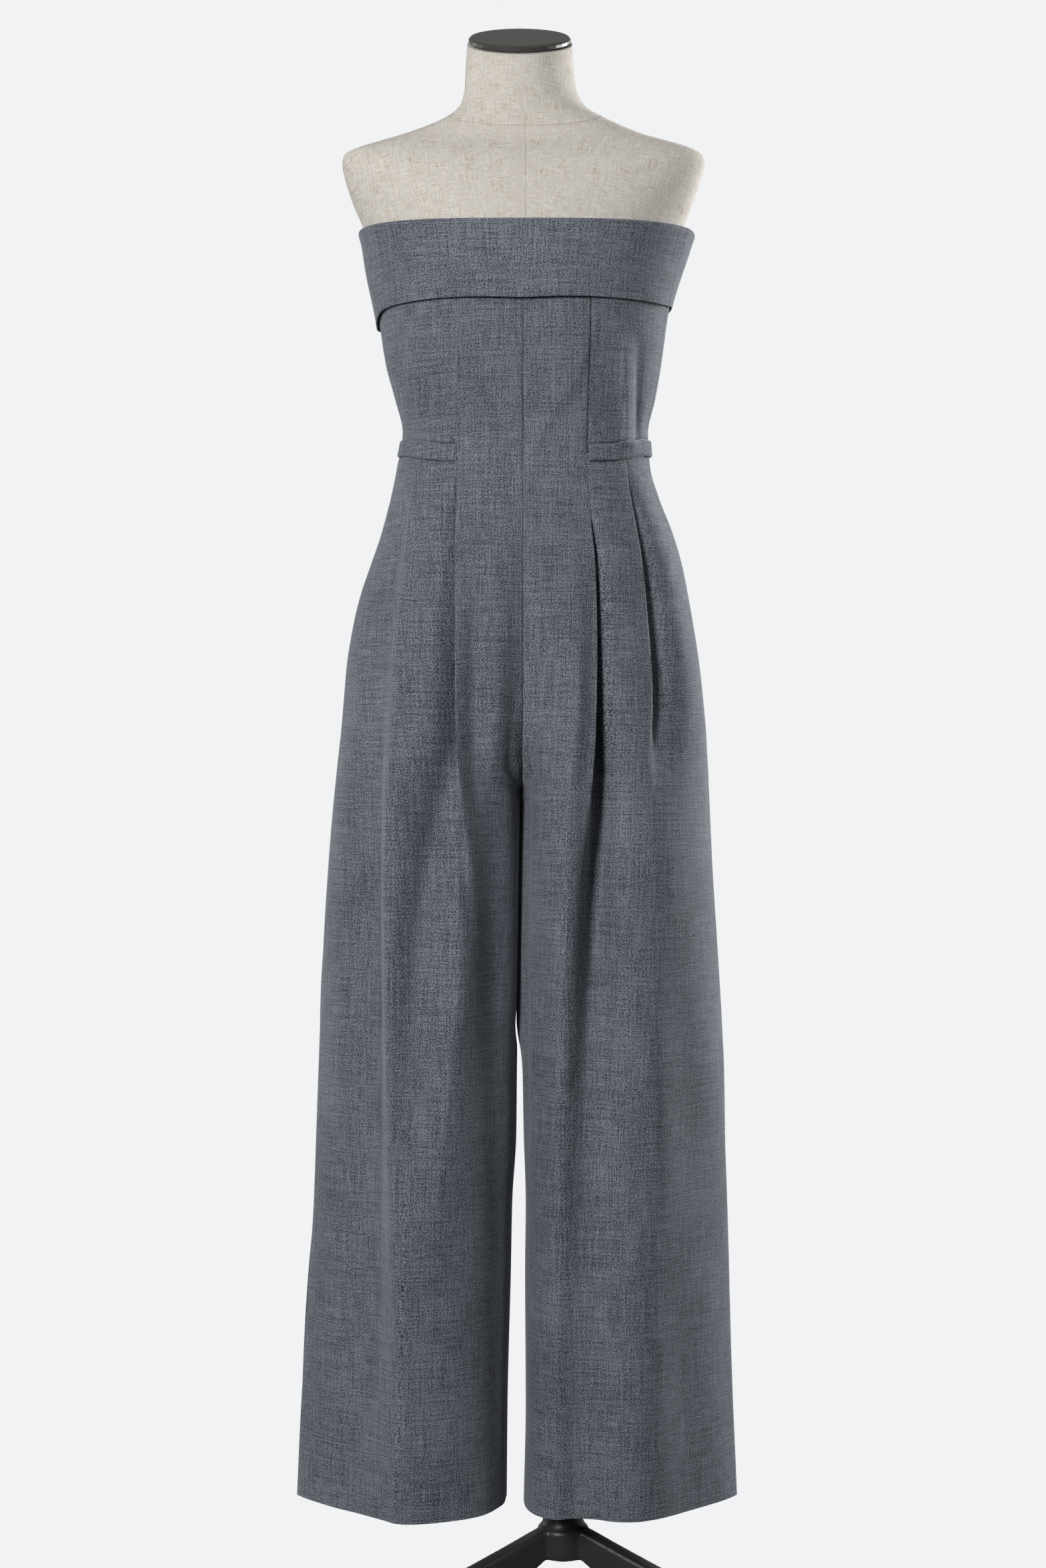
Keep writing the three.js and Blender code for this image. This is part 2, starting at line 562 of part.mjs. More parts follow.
// A point that stands off the bodice by out, at a signed angle from centre front.
function standOff(angle, z, out) {
  const side = angle < 0 ? 'left' : 'right';
  const half = Math.min(Math.max(Math.abs(angle), 1e-4), Math.PI - 1e-4);
  const section = halfSection(side, z);
  const point = outlinePoint(section, half);
  const along = outlineAlong(section, half).normalize();
  return new THREE.Vector3(SIGN[side] * (point.x + along.y * out), point.y - along.x * out, z);
}

function cuffGeometry(fromDegrees, toDegrees, cells) {
  const columns = evenly(fromDegrees, toDegrees, cells).map((degrees) => {
    const wrapped = degrees > 180 ? degrees - 360 : degrees;
    const angle = radians(wrapped);
    const top = CUFF_TOP_FRONT + CUFF_TOP_RISE * Math.sin(angle) ** 2;
    const edge = CUFF.edge(wrapped);
    const topOut = CUFF.topOut(wrapped);
    const lowOut = CUFF.lowOut(wrapped);
    const turn = CUFF_TURN_ROWS.map(({ drop, out, share }) => standOff(angle, top - drop, out + share * topOut));
    const fallStart = top - CUFF_TURN_ROWS[CUFF_TURN_ROWS.length - 1].drop;
    const fall = CUFF_DROP_SHARES.map((share) => standOff(
      angle,
      mix(fallStart, edge, share),
      mix(topOut, lowOut, share),
    ));
    return [...turn, ...fall];
  });
  const grid = columns[0].map((_, i) => columns.map((column) => column[i]));
  const inner = insetGrid(grid, CUFF_CLOTH);
  inner[0].forEach((point, j) => point.setZ(grid[0][j].z));
  return wallGeometry(grid, inner);
}

function frontCuff() {
  return cuffGeometry(-CUFF_SEAM_ANGLE + CUFF_SEAM_GAP, CUFF_SEAM_ANGLE - CUFF_SEAM_GAP, 20);
}

function backCuff() {
  return cuffGeometry(CUFF_SEAM_ANGLE + CUFF_SEAM_GAP, 360 - CUFF_SEAM_ANGLE - CUFF_SEAM_GAP, 24);
}

// ---------------------------------------------------------------- dress form

// A ring of the form. Above the neck's base it slants, so that the neck ends low at the front.
function formRing(z) {
  const slant = NECK_SLANT * smooth(z, NECK_SLANT_START, NECK_TOP);
  return Array.from({ length: FORM_SIDES }, (_, i) => {
    const angle = (i / FORM_SIDES) * 2 * Math.PI;
    const sine = Math.sin(angle);
    const cosine = Math.cos(angle);
    const halfWidth = sine < 0 ? FORM.left(z) : FORM.right(z);
    const depth = cosine > 0 ? FORM.front(z) : FORM.back(z);
    const far = reach(angle, FORM.corner(z));
    const y = -depth * cosine * far;
    return new THREE.Vector3(halfWidth * sine * far, y, z + slant * y);
  });
}

// A closed body from a stack of rings, its first and last ring closed by fans.
function stackGeometry(rings) {
  const sides = rings[0].length;
  const centre = (ring) => ring.reduce((sum, p) => sum.add(p), new THREE.Vector3()).divideScalar(sides);
  const points = [...rings.flat(), centre(rings[0]), centre(rings[rings.length - 1])];
  const bottom = rings.length * sides;
  const top = bottom + 1;
  const indices = [];
  for (let i = 0; i < sides; i += 1) {
    const next = (i + 1) % sides;
    indices.push(bottom, next, i);
    indices.push(top, (rings.length - 1) * sides + i, (rings.length - 1) * sides + next);
    for (let j = 0; j < rings.length - 1; j += 1) {
      const low = j * sides;
      const high = low + sides;
      indices.push(low + i, low + next, high + i, low + next, high + next, high + i);
    }
  }
  return outwardGeometry(points.flatMap((p) => [p.x, p.y, p.z]), indices);
}

function formTorso() {
  return stackGeometry(FORM_LEVELS.map(formRing));
}

// The cap is a thick disc with a rounded rim on the slanted top of the neck.
function neckCap() {
  const rim = 2;
  const profile = [
    [0, 0], [CAP_RADIUS - rim, 0], [CAP_RADIUS, rim], [CAP_RADIUS, CAP_THICK - rim],
    [CAP_RADIUS - rim, CAP_THICK], [0, CAP_THICK],
  ].map(([x, y]) => new THREE.Vector2(x, y));
  return new THREE.LatheGeometry(profile, FORM_SIDES);
}

// ---------------------------------------------------------------- stand

function poleGeometry() {
  const foot = BORE_FLOOR + SEAM_GAP;
  const head = FORM_LEVELS[0] - SEAM_GAP;
  const geometry = new THREE.CylinderGeometry(POLE_RADIUS, POLE_RADIUS, head - foot, 32);
  geometry.rotateX(Math.PI / 2);
  geometry.translate(POLE_X, 0, (head + foot) / 2);
  return geometry;
}

// The side view of a leg: it slopes down from the hub to a foot with a flat sole.
function legGeometry(degrees) {
  const bevel = 3;
  const profile = new THREE.Shape();
  profile.moveTo(0, 100 - bevel);
  profile.lineTo(22, 99 - bevel);
  profile.lineTo(LEG_REACH - 22, 29 - bevel);
  profile.quadraticCurveTo(LEG_REACH - bevel, 21, LEG_REACH - bevel, bevel);
  profile.lineTo(LEG_REACH - 36, bevel);
  profile.lineTo(26, 60 + bevel);
  profile.lineTo(0, 62 + bevel);
  const geometry = new THREE.ExtrudeGeometry(profile, {
    depth: LEG_WIDTH - 2 * bevel,
    bevelThickness: bevel,
    bevelSize: bevel,
    bevelSegments: 2,
    curveSegments: 5,
  });
  geometry.translate(0, 0, -LEG_WIDTH / 2 + bevel);
  geometry.rotateX(Math.PI / 2);
  geometry.rotateZ(radians(degrees));
  geometry.translate(POLE_X, 0, 0);
  return geometry;
}

function solidOf(geometry) {
  const bare = geometry.clone();
  bare.deleteAttribute('normal');
  bare.deleteAttribute('uv');
  const merged = BufferGeometryUtils.mergeVertices(bare, 1e-4);
  return new wasm.Manifold(new wasm.Mesh({
    numProp: 3,
    vertProperties: new Float32Array(merged.attributes.position.array),
    triVerts: new Uint32Array(merged.index.array),
  }));
}

function geometryOf(solid) {
  const { vertProperties, triVerts } = solid.getMesh();
  const geometry = new THREE.BufferGeometry();
  geometry.setAttribute('position', new THREE.BufferAttribute(vertProperties, 3));
  geometry.setIndex(new THREE.BufferAttribute(triVerts, 1));
  return geometry;
}

// The base is one casting: a socket for the pole and three legs.
function baseGeometry() {
  const rim = 2;
  const profile = [
    [0, 58], [SOCKET_RADIUS + 4, 58], [SOCKET_RADIUS + 6, 64], [SOCKET_RADIUS + 6, 96],
    [SOCKET_RADIUS + 1.5, 101], [SOCKET_RADIUS, 105], [SOCKET_RADIUS, SOCKET_TOP - rim],
    [SOCKET_RADIUS - rim, SOCKET_TOP], [0, SOCKET_TOP],
  ].map(([x, y]) => new THREE.Vector2(x, y));
  const socket = new THREE.LatheGeometry(profile, 36);
  socket.rotateX(Math.PI / 2);
  socket.translate(POLE_X, 0, 0);
  const boreHeight = SOCKET_TOP - BORE_FLOOR + 10;
  const bore = new THREE.CylinderGeometry(POLE_RADIUS + SEAM_GAP, POLE_RADIUS + SEAM_GAP, boreHeight, 32);
  bore.rotateX(Math.PI / 2);
  bore.translate(POLE_X, 0, BORE_FLOOR + boreHeight / 2);
  const legs = LEG_ANGLES.map(legGeometry).map(solidOf);
  const casting = legs.reduce((sum, leg) => sum.add(leg), solidOf(socket));
  return geometryOf(casting.subtract(solidOf(bore)));
}

// ---------------------------------------------------------------- assembly

function material(color, roughness, metalness = 0) {
  return () => new THREE.MeshStandardMaterial({ color, roughness, metalness });
}

const clothMaterial = material(0x666a73, 0.95);
const linenMaterial = material(0xcfc8ba, 0.95);
const capMaterial = material(0x2c2c2f, 0.6);
const ironMaterial = material(0x26272a, 0.45, 0.3);

function part(name, geometry, makeMaterial) {
  const mesh = new THREE.Mesh(geometry, makeMaterial());
  mesh.name = name;
  return mesh;
}

const model = new THREE.Group();
for (const side of ['left', 'right']) {
  model.add(part(`front_${side}`, frontPanel(side), clothMaterial));
  model.add(part(`side_front_${side}`, sideFrontPanel(side), clothMaterial));
  model.add(part(`back_${side}`, backPanel(side), clothMaterial));
  model.add(part(`welt_${side}`, weltGeometry(side, side === 'left' ? 1.5 : 3), clothMaterial));
}
model.add(part('cuff_front', frontCuff(), clothMaterial));
model.add(part('cuff_back', backCuff(), clothMaterial));
model.add(part('form_torso', formTorso(), linenMaterial));

const cap = part('neck_cap', neckCap(), capMaterial);
cap.rotation.set(Math.PI / 2 + Math.atan(NECK_SLANT), 0, 0);
const capLift = SEAM_GAP + 0.2;
cap.position.set(-3.5, -capLift * Math.sin(Math.atan(NECK_SLANT)), NECK_TOP + capLift);
model.add(cap);

model.add(part('pole', poleGeometry(), ironMaterial));
model.add(part('base', baseGeometry(), ironMaterial));

// The origin is under the middle of the whole object, on the surface that it stands on.
const box = new THREE.Box3().setFromObject(model);
const centre = box.getCenter(new THREE.Vector3());
model.position.set(-centre.x, -centre.y, -box.min.z);

const group = new THREE.Group();
group.add(model);

export default group;
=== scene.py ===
import math

import bpy
import numpy as np
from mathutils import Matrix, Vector


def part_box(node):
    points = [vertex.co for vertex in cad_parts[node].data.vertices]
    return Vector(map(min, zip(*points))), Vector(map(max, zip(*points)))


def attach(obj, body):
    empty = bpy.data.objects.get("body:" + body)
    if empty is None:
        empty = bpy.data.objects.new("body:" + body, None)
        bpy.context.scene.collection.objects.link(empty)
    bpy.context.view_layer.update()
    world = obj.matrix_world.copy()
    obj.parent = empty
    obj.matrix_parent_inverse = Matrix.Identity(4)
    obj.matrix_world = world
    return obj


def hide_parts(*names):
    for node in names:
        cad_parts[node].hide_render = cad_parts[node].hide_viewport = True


# A strapless wide-leg jumpsuit with a fold-over cuff on a limbless dress form. The frame is in
# metres. The tables below are in millimetres from the garment's own middle plane. Left and right are
# as seen from the front: left is -X. Each half of the garment is worked out in its own x, which grows
# towards its side, and mirrored by SIGN.
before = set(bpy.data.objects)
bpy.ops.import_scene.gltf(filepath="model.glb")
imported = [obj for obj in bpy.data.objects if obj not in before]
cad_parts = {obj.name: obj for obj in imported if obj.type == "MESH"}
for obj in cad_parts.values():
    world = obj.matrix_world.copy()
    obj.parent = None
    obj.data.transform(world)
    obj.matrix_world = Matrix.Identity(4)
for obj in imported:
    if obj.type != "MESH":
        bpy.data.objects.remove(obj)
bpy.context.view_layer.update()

MM = 0.001
POLE_OFFSET = 42.0  # the pole stands this far to the right of the garment's middle
pole_low, pole_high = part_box("pole")
POLE_X = (pole_low.x + pole_high.x) / 2
MIDDLE_X = POLE_X - POLE_OFFSET * MM
MIDDLE_Y = (pole_low.y + pole_high.y) / 2

CLOTH = 1.1  # wall of one layer of suiting
HEM = 131.0
TOP_ROW = 1439.0  # the panels end here, under the cuff's fold
GRAIN_ROW = 905.0  # the weave follows the pleat below this, the middle seam above
BODICE_RADIUS = 90.0  # about the bodice's radius, which turns lengths into angles
CUFF_TOP_FRONT = 1446.0
CUFF_TOP_RISE = 7.0  # how much higher the cuff's top is at the sides
CUFF_SEAM_ANGLE = 71.0  # degrees from centre front to the cuff's side seams
WELT_ROW = 1213.0
WELT_RISE = 12.0  # how far the welts climb towards the sides
WELT_HALF_HEIGHT = 8.5
END_WIDTH = 5.0  # the folds fade this near to where the two halves meet
SWAY_DEPTH = 30.0  # the inner walls sway this far before and behind the middle
LAP = 0.7  # how far the front's middle seam stands aside from the back's
PRINCESS_SHARE = {"left": 0.5, "right": 0.9}  # how deep the princess seams are pressed
PRINCESS_GAP = {"left": 0.1, "right": 0.3}  # between the front and the side front
RIPPLE_SEED = {"left": 3, "right": 11}
SIGN = {"left": -1.0, "right": 1.0}


# ---------------- tables

def table(names, rows):
    """Smooth functions of the first column, one for each further name."""
    data = np.array(sorted(rows), float)
    return {name: curve(data[:, 0], data[:, i + 1]) for i, name in enumerate(names[1:])}


def curve(keys, values):
    """A smooth curve through the values, one row for each key, that never overshoots them."""
    lift = (slice(None),) + (None,) * (values.ndim - 1)
    secants = np.diff(values, axis=0) / np.diff(keys)[lift]
    before = np.concatenate([secants[:1], secants])
    after = np.concatenate([secants, secants[-1:]])
    product = before * after
    slopes = np.where(product > 0, 2 * product / np.where(product > 0, before + after, 1), 0.0)

    def at(key):
        key = np.clip(np.asarray(key, float), keys[0], keys[-1])
        i = np.clip(np.searchsorted(keys, key) - 1, 0, len(keys) - 2)
        span = keys[i + 1] - keys[i]
        t = (key - keys[i]) / span
        if values.ndim > 1:
            span, t = span[lift], t[lift]
        t2 = t * t
        t3 = t2 * t
        return ((2 * t3 - 3 * t2 + 1) * values[i] + (t3 - 2 * t2 + t) * span * slopes[i]
                + (3 * t2 - 2 * t3) * values[i + 1] + (t3 - t2) * span * slopes[i + 1])

    return at


# The worn garment by level: reach to the left, right, front and back, the fork angle at which a half
# ends at the middle, the exponents of its inner corners on the left and right and of its outer side,
# the side seam's angle, and each leg's inner face.
GARMENT = table([
    "z", "left", "right", "front", "back", "fork", "corner_left", "corner_right", "side", "seam",
    "inner_left", "inner_right"
], [
    [1460, 169, 172, 98, 83, 0, 2.3, 2.3, 2.25, 74, 0.15, 0.15],
    [1440, 163.5, 166, 100, 84, 0, 2.3, 2.3, 2.25, 74, 0.15, 0.15],
    [1400, 156.8, 157.5, 104, 86, 0, 2.3, 2.3, 2.25, 74, 0.15, 0.15],
    [1366, 151.5, 152, 105, 85, 0, 2.3, 2.3, 2.25, 75, 0.15, 0.15],
    [1314, 143.5, 144.9, 99, 82, 0, 2.3, 2.3, 2.25, 77, 0.15, 0.15],
    [1279, 134, 138.6, 92, 79, 0, 2.3, 2.3, 2.25, 78, 0.15, 0.15],
    [1244, 126, 131, 87, 77, 0, 2.3, 2.3, 2.25, 79, 0.15, 0.15],
    [1209, 131.6, 133, 88, 80, 0, 2.3, 2.3, 2.25, 80, 0.15, 0.15],
    [1174, 138.6, 143, 91, 86, 0, 2.3, 2.3, 2.25, 82, 0.15, 0.15],
    [1139, 147.7, 156.8, 94, 93, -1, 2.35, 2.35, 2.25, 84, 0.15, 0.15],
    [1104, 158.9, 166.6, 97, 101, -3, 2.45, 2.45, 2.25, 86, 0.15, 0.15],
    [1069, 170.1, 173, 100, 107, -6, 2.5, 2.5, 2.25, 87, 0.15, 0.15],
    [1034, 178.5, 178.5, 102, 110, -10, 2.5, 2.6, 2.25, 88, 0.15, 0.15],
    [999, 184.8, 183.4, 104, 111, -15, 2.5, 2.65, 2.2, 89, 0.15, 0.15],
    [960, 188.5, 187.5, 105, 110, -22, 2.5, 2.7, 2.15, 90, 0.15, 0.15],
    [929, 191.1, 190.4, 106, 109, -30, 2.5, 2.75, 2.1, 90, 0.15, 0.15],
    [905, 193.5, 191.8, 106, 108, -40, 2.6, 2.9, 2.05, 90, 0.15, 0.15],
    [888, 195, 193, 106, 107, -54, 2.65, 3.1, 2.0, 90, 0.15, 0.15],
    [876, 196, 193.6, 106, 107, -70, 2.7, 3.2, 1.98, 90, 0.15, 0.15],
    [866, 196.9, 194.2, 106, 106, -90, 2.7, 3.3, 1.96, 90, 0.15, 0.15],
    [789, 203, 198.8, 105, 103, -90, 2.6, 3.4, 1.8, 90, 0.8, -0.5],
    [719, 208.6, 203.7, 104, 102, -90, 2.55, 3.4, 1.68, 90, 1.5, -1.2],
    [649, 212.8, 207.9, 103, 100, -90, 2.5, 3.3, 1.58, 90, 2.8, -2.5],
    [614, 213.9, 209.4, 102.5, 99, -90, 2.5, 3.2, 1.54, 90, 5.6, -2.8],
    [579, 214.9, 210.7, 102, 98.5, -90, 2.5, 3.2, 1.5, 90, 6.3, 0],
    [509, 217, 211.4, 101, 98, -90, 2.5, 3.2, 1.42, 90, 7, 1.4],
    [439, 219.8, 214.2, 100, 97, -90, 2.55, 3.2, 1.35, 90, 11.2, 3.5],
    [369, 224.7, 217, 99, 96, -90, 2.6, 3.3, 1.3, 90, 12.6, 2.8],
    [229, 232.4, 221.2, 97, 95, -90, 2.7, 3.5, 1.22, 90, 16.1, 3.5],
    [131, 236.5, 224.8, 96, 94, -90, 2.8, 3.7, 1.18, 90, 17, 1.4],
])

# The x of the pleats by level. Above the welts, the main lines are the princess seams.
PLEAT_LINES = table(["z", "main_left", "side_left", "main_right", "side_right"], [
    [1446, 66, 104, 70, 104], [1366, 65, 106, 68.8, 104], [1222, 65.9, 109, 65.6, 105.5],
    [1174, 69, 112, 67.5, 112], [1139, 70.9, 114.5, 71.5, 119], [1099, 71.5, 118, 76, 126],
    [1040, 71.5, 122, 78.5, 132], [1002, 71.5, 124.5, 79, 135], [922, 71, 127, 78, 139],
    [860, 69, 129.5, 76, 141], [777, 66, 131.5, 72.5, 141], [631, 67, 130, 70.5, 139],
    [439, 70, 124, 66.5, 136], [299, 71, 119, 63, 135], [131, 71, 119, 63, 134],
])


def fold(line, rows, inner_power=2.0, outer_power=2.0, face="front"):
    """A fold of the cloth: its line, and by level its rise, its widths inwards and outwards, and how
    far a trough slides under the cloth beside it, if at all. A low power makes a sharp ridge, and a
    high one on the inner side makes the crisp edge of a knife pleat."""
    rows = [row + [0] * (5 - len(row)) for row in rows]
    place = PLEAT_LINES[line] if isinstance(line, str) else table(["z", "x"], line)["x"]
    return {
        "face": face, "place": place, "inner_power": inner_power, "outer_power": outer_power,
        **table(["z", "rise", "inner", "outer", "under"], rows),
    }


CENTRE_LINE = [[1500, 0], [800, 0]]

# The hollow where the two fronts' middle seam dips into the crotch.
CROTCH_DIP = fold(CENTRE_LINE, [
    [960, 0, 2.5, 2.5], [925, -4, 3, 3], [895, -8, 3.5, 3.5], [870, -6, 4, 4], [852, 0, 4, 4]])

LEFT_FOLDS = [
    fold("main_left", [
        [1176, 0, 1.6, 8, 0.4], [1120, -8, 1.7, 9, 2], [1060, -15, 2, 11, 4], [980, -23, 2.4, 12.5, 5.5],
        [922, -25, 2.6, 14, 5.5], [880, -20, 3.4, 15, 4], [840, -12, 5, 17, 1.5], [800, -7, 8, 18, 0.5],
        [750, -3, 12, 18], [700, 0, 14, 18]], 4, 2),
    fold("main_left", [
        [1200, 0, 1.2, 1.4], [1150, -2.4, 1.3, 1.8], [1000, -5, 1.5, 3, 0.6], [900, -5, 1.6, 3.4, 0.6],
        [850, 0, 1.8, 3]]),
    fold([[1120, 69], [900, 68], [826, 67], [725, 67], [600, 74], [450, 88], [131, 98]], [
        [1120, 0, 8, 4], [1000, 4, 10, 4], [900, 10, 13, 7], [826, 14, 18, 12], [700, 18, 22, 17],
        [580, 16, 25, 20], [450, 9, 34, 20], [300, 4, 30, 20], [131, 2, 24, 22]], 1.7, 1.7),
    fold("side_left", [
        [1215, 0, 10, 4], [1150, 3, 13, 5], [1040, 8, 18, 9], [860, 14, 22, 12], [631, 16, 24, 13],
        [439, 15, 24, 14], [300, 12, 26, 16], [131, 7, 26, 18]], 1.6, 1.7),
    fold([[950, 84], [900, 86], [826, 91], [725, 107], [600, 114], [450, 118], [131, 110]], [
        [940, 0, 12, 14], [880, -5, 13, 15], [826, -10, 14, 16], [700, -12, 14, 16], [580, -8, 14, 16],
        [450, -3, 16, 16], [350, 0, 16, 16]]),
    fold([[1100, 146], [950, 152], [826, 155], [700, 158], [400, 158], [131, 172]], [
        [1080, 0, 14, 22], [1000, -4, 15, 24], [900, -11, 16, 26], [700, -17, 17, 28],
        [439, -16, 18, 30], [250, -10, 20, 30], [131, -3, 22, 30]]),
    fold([[1100, 50], [900, 47], [820, 44]], [
        [1150, 0, 8, 7], [1040, -5, 12, 9], [960, -10, 14, 12], [900, -10, 17, 15], [840, -2, 24, 18],
        [800, 0, 30, 20]]),
    fold([[900, 26], [131, 24]], [
        [930, 0, 16, 22], [860, -5, 20, 24], [700, -7, 22, 26], [500, -6, 24, 26], [131, -3, 26, 26]]),
    fold(CENTRE_LINE, [
        [1150, 0, 16, 16], [1040, -10, 17, 18], [960, -17, 18, 20], [905, -17, 18, 20],
        [862, -7, 20, 20], [800, 0, 20, 20]]),
    CROTCH_DIP,
    fold([[1330, 58], [1216, 13], [1150, 6]], [
        [1345, 0, 9, 9], [1310, -2, 9, 9], [1250, -3, 8, 10], [1200, -2.6, 7, 9], [1130, 0, 7, 7]]),
    fold([[1345, 112], [1275, 117]], [
        [1350, 0, 4, 5], [1320, 1.6, 4, 5], [1290, 1.4, 4, 5], [1268, 0, 4, 5]], 1.3, 1.3),
    fold([[1285, 106], [1219, 104]], [
        [1290, 0, 5, 6], [1265, 1.5, 5, 6], [1235, 1.4, 5, 6], [1222, 0, 5, 6]], 1.3, 1.3),
    fold([[1000, 110], [131, 120]], [
        [1120, 0, 22, 22], [950, 4, 22, 20], [600, 8, 24, 20], [131, 9, 26, 24]], 1.5, 1.5, face="back"),
    fold([[1000, 66], [131, 66]], [
        [980, 0, 20, 20], [800, -9, 18, 18], [500, -11, 20, 20], [131, -7, 24, 22]], face="back"),
    fold([[1000, 160], [131, 185]], [
        [980, 0, 26, 26], [800, -5, 26, 26], [400, -6, 30, 26], [131, -6, 30, 28]], face="back"),
]

RIGHT_FOLDS = [
    fold("main_right", [
        [1150, 0, 1.8, 3, 0.3], [1125, -7, 1.9, 4, 1.5], [1095, -12, 2.2, 5, 3], [1060, -15, 2.5, 6, 4],
        [1020, -20, 2.6, 6.5, 5.5], [980, -26, 3, 8.5, 6.5], [922, -33, 3.6, 12, 6.5],
        [860, -34, 6, 17, 4.5], [777, -30, 11, 20, 1], [700, -26, 15, 20], [631, -20, 17, 21],
        [540, -12, 20, 22], [450, -7, 22, 24], [131, -9, 24, 24]], 5, 3),
    fold("side_right", [
        [1200, 0, 1.8, 6], [1150, -6, 2.2, 10, 1], [1099, -12, 2.6, 15, 2.5], [1053, -17, 3, 19, 4],
        [1002, -19, 3.2, 22, 4.2], [960, -14, 4.5, 24, 2.4], [925, -9, 8, 25, 0.8], [890, -5, 12, 26],
        [850, -2.5, 15, 27], [810, 0, 17, 28]], 3, 1.7),
    fold(CENTRE_LINE, [
        [1120, 0, 16, 16], [1030, -4, 18, 18], [950, -8, 20, 20], [905, -10, 20, 20], [862, -9, 18, 18],
        [780, -10, 15, 15], [632, -10, 14, 14], [540, -7, 14, 14], [440, 0, 14, 14]]),
    CROTCH_DIP,
    fold([[1100, 56], [960, 54], [860, 49], [700, 43], [500, 40], [300, 36]], [
        [1120, 0, 18, 10], [1000, 8, 22, 10], [860, 14, 20, 12], [700, 17, 18, 14], [500, 13, 18, 16],
        [350, 6, 20, 18], [200, 0, 20, 18]], 1.6, 2.0),
    fold([[900, 128], [725, 132], [500, 134], [131, 134]], [
        [900, 0, 20, 30], [820, 4, 24, 34], [725, 8, 26, 36], [600, 8, 26, 36], [400, 5, 26, 36],
        [131, 3, 26, 36]], 1.7, 1.7),
    fold([[1330, 66], [1304, 60], [1214, 12], [1150, 4]], [
        [1345, 0, 14, 9], [1304, 2.8, 16, 8], [1250, 3, 13, 8], [1205, 2, 9, 7],
        [1130, 0, 8, 7]], 1.6, 1.6),
    fold([[1335, 101], [1222, 104]], [
        [1345, 0, 4, 11], [1310, 3.6, 4, 13], [1260, 5.2, 4, 14], [1228, 3.8, 4, 14],
        [1219, 0, 5, 12]], 1.3, 1.5),
    fold([[1330, 118], [1222, 118]], [
        [1340, 0, 7, 7], [1300, -2.2, 7, 7], [1240, -2.8, 7, 7], [1222, 0, 7, 7]]),
    fold([[1000, 105], [131, 118]], [
        [1100, 0, 22, 22], [950, 4, 22, 22], [600, 7, 24, 22], [131, 9, 26, 24]], 1.5, 1.5, face="back"),
    fold([[1000, 60], [131, 64]], [
        [960, 0, 20, 20], [760, -10, 18, 18], [450, -10, 20, 20], [131, -9, 24, 22]], face="back"),
    fold([[1000, 158], [131, 176]], [
        [960, 0, 26, 26], [760, -5, 26, 26], [350, -6, 30, 26], [131, -6, 30, 28]], face="back"),
]

FOLDS = {"left": LEFT_FOLDS, "right": RIGHT_FOLDS}

# Pleats that are stitched down above the level where they open, as a line and its two ends.
STITCHED = {
    "left": [("main_left", 1206, 1150)],
    "right": [("main_right", 1206, 1130), ("side_right", 1206, 1180)],
}

# The legs' inner walls lie together and sway to the left between these levels.
INNER_SWAY = table(["z", "sway"], [[890, 0], [866, -3], [720, -4], [632, -4], [600, 0]])["sway"]
# In front of that, the right leg draws back by this much and leaves a deep narrow slot.
SLOT = table(["z", "width"], [[864, 0], [856, 2.2], [830, 1.6], [790, 1], [700, 1], [650, 2], [600, 1],
                              [560, 0]])["width"]

# The cuff by degrees from centre front: the level of its lower edge, and how far it stands off the
# bodice above and below.
CUFF = table(["angle", "edge", "top_out", "low_out"], [
    [-180, 1362, 6, 5], [-120, 1357, 6, 5], [-92, 1353, 6.2, 5], [-80, 1357, 6.2, 4.6],
    [-71, 1362, 6.2, 4.2], [-60, 1365, 6, 4.2], [-30, 1366.5, 5.8, 4.4], [-12, 1365.5, 5.8, 5.8],
    [0, 1364.5, 5.8, 6.2], [12, 1366, 5.8, 5.4], [30, 1367.5, 5.8, 4.2], [60, 1368.5, 6.5, 4],
    [75, 1371, 9.5, 3.8], [92, 1375, 11.5, 3.6], [120, 1371, 8, 4.2], [180, 1362, 6, 5],
])

# The form by level: its reach to the left, right, front and back, and the exponent of its corners.
FORM = table(["z", "left", "right", "front", "back", "corner"], [
    [915, 128, 128, 52, 66, 2.1], [919, 142, 142, 62, 77, 2.1], [930, 152, 152, 68, 86, 2.1],
    [970, 160, 160, 76, 96, 2.15], [1034, 165, 165, 82, 103, 2.15], [1069, 162, 163, 83, 101, 2.15],
    [1104, 152, 157, 84, 96, 2.2], [1139, 141, 147, 85, 89, 2.2], [1174, 132, 136, 85, 82, 2.2],
    [1209, 125.5, 126, 83, 75, 2.2], [1244, 122, 126, 83, 73.5, 2.2], [1279, 130, 134.5, 88, 76, 2.2],
    [1314, 140, 141, 95, 79, 2.2], [1349, 146.5, 147.5, 101, 82, 2.2],
    [1366, 149.2, 149.8, 102.6, 82.5, 2.2], [1400, 154.4, 155, 101.4, 83, 2.2],
    [1440, 160.6, 162.8, 96.5, 80.5, 2.22], [1461, 168.3, 169, 91.5, 78, 2.4],
    [1489, 180, 179.5, 84, 74, 2.7], [1510, 186.5, 186.5, 76, 70, 2.9], [1524, 189, 190, 67, 66, 3],
    [1531, 187.6, 188.3, 61, 63, 3], [1538, 176, 178.5, 56, 60, 2.8], [1545, 156, 158.2, 52.5, 57.5, 2.5],
    [1552, 134, 134.5, 51, 56, 2.3], [1559, 113.5, 116, 50.5, 55, 2.2], [1566, 95.5, 100, 51, 54.5, 2.1],
    [1573, 81.5, 85, 52, 54.5, 2.05], [1580, 72, 72, 53, 55, 2], [1589, 65, 62.5, 54, 55.5, 2],
    [1605, 61.3, 56, 54.5, 56, 2], [1629, 60, 53, 54, 55, 2], [1652, 58.5, 51.5, 53, 53, 2],
])
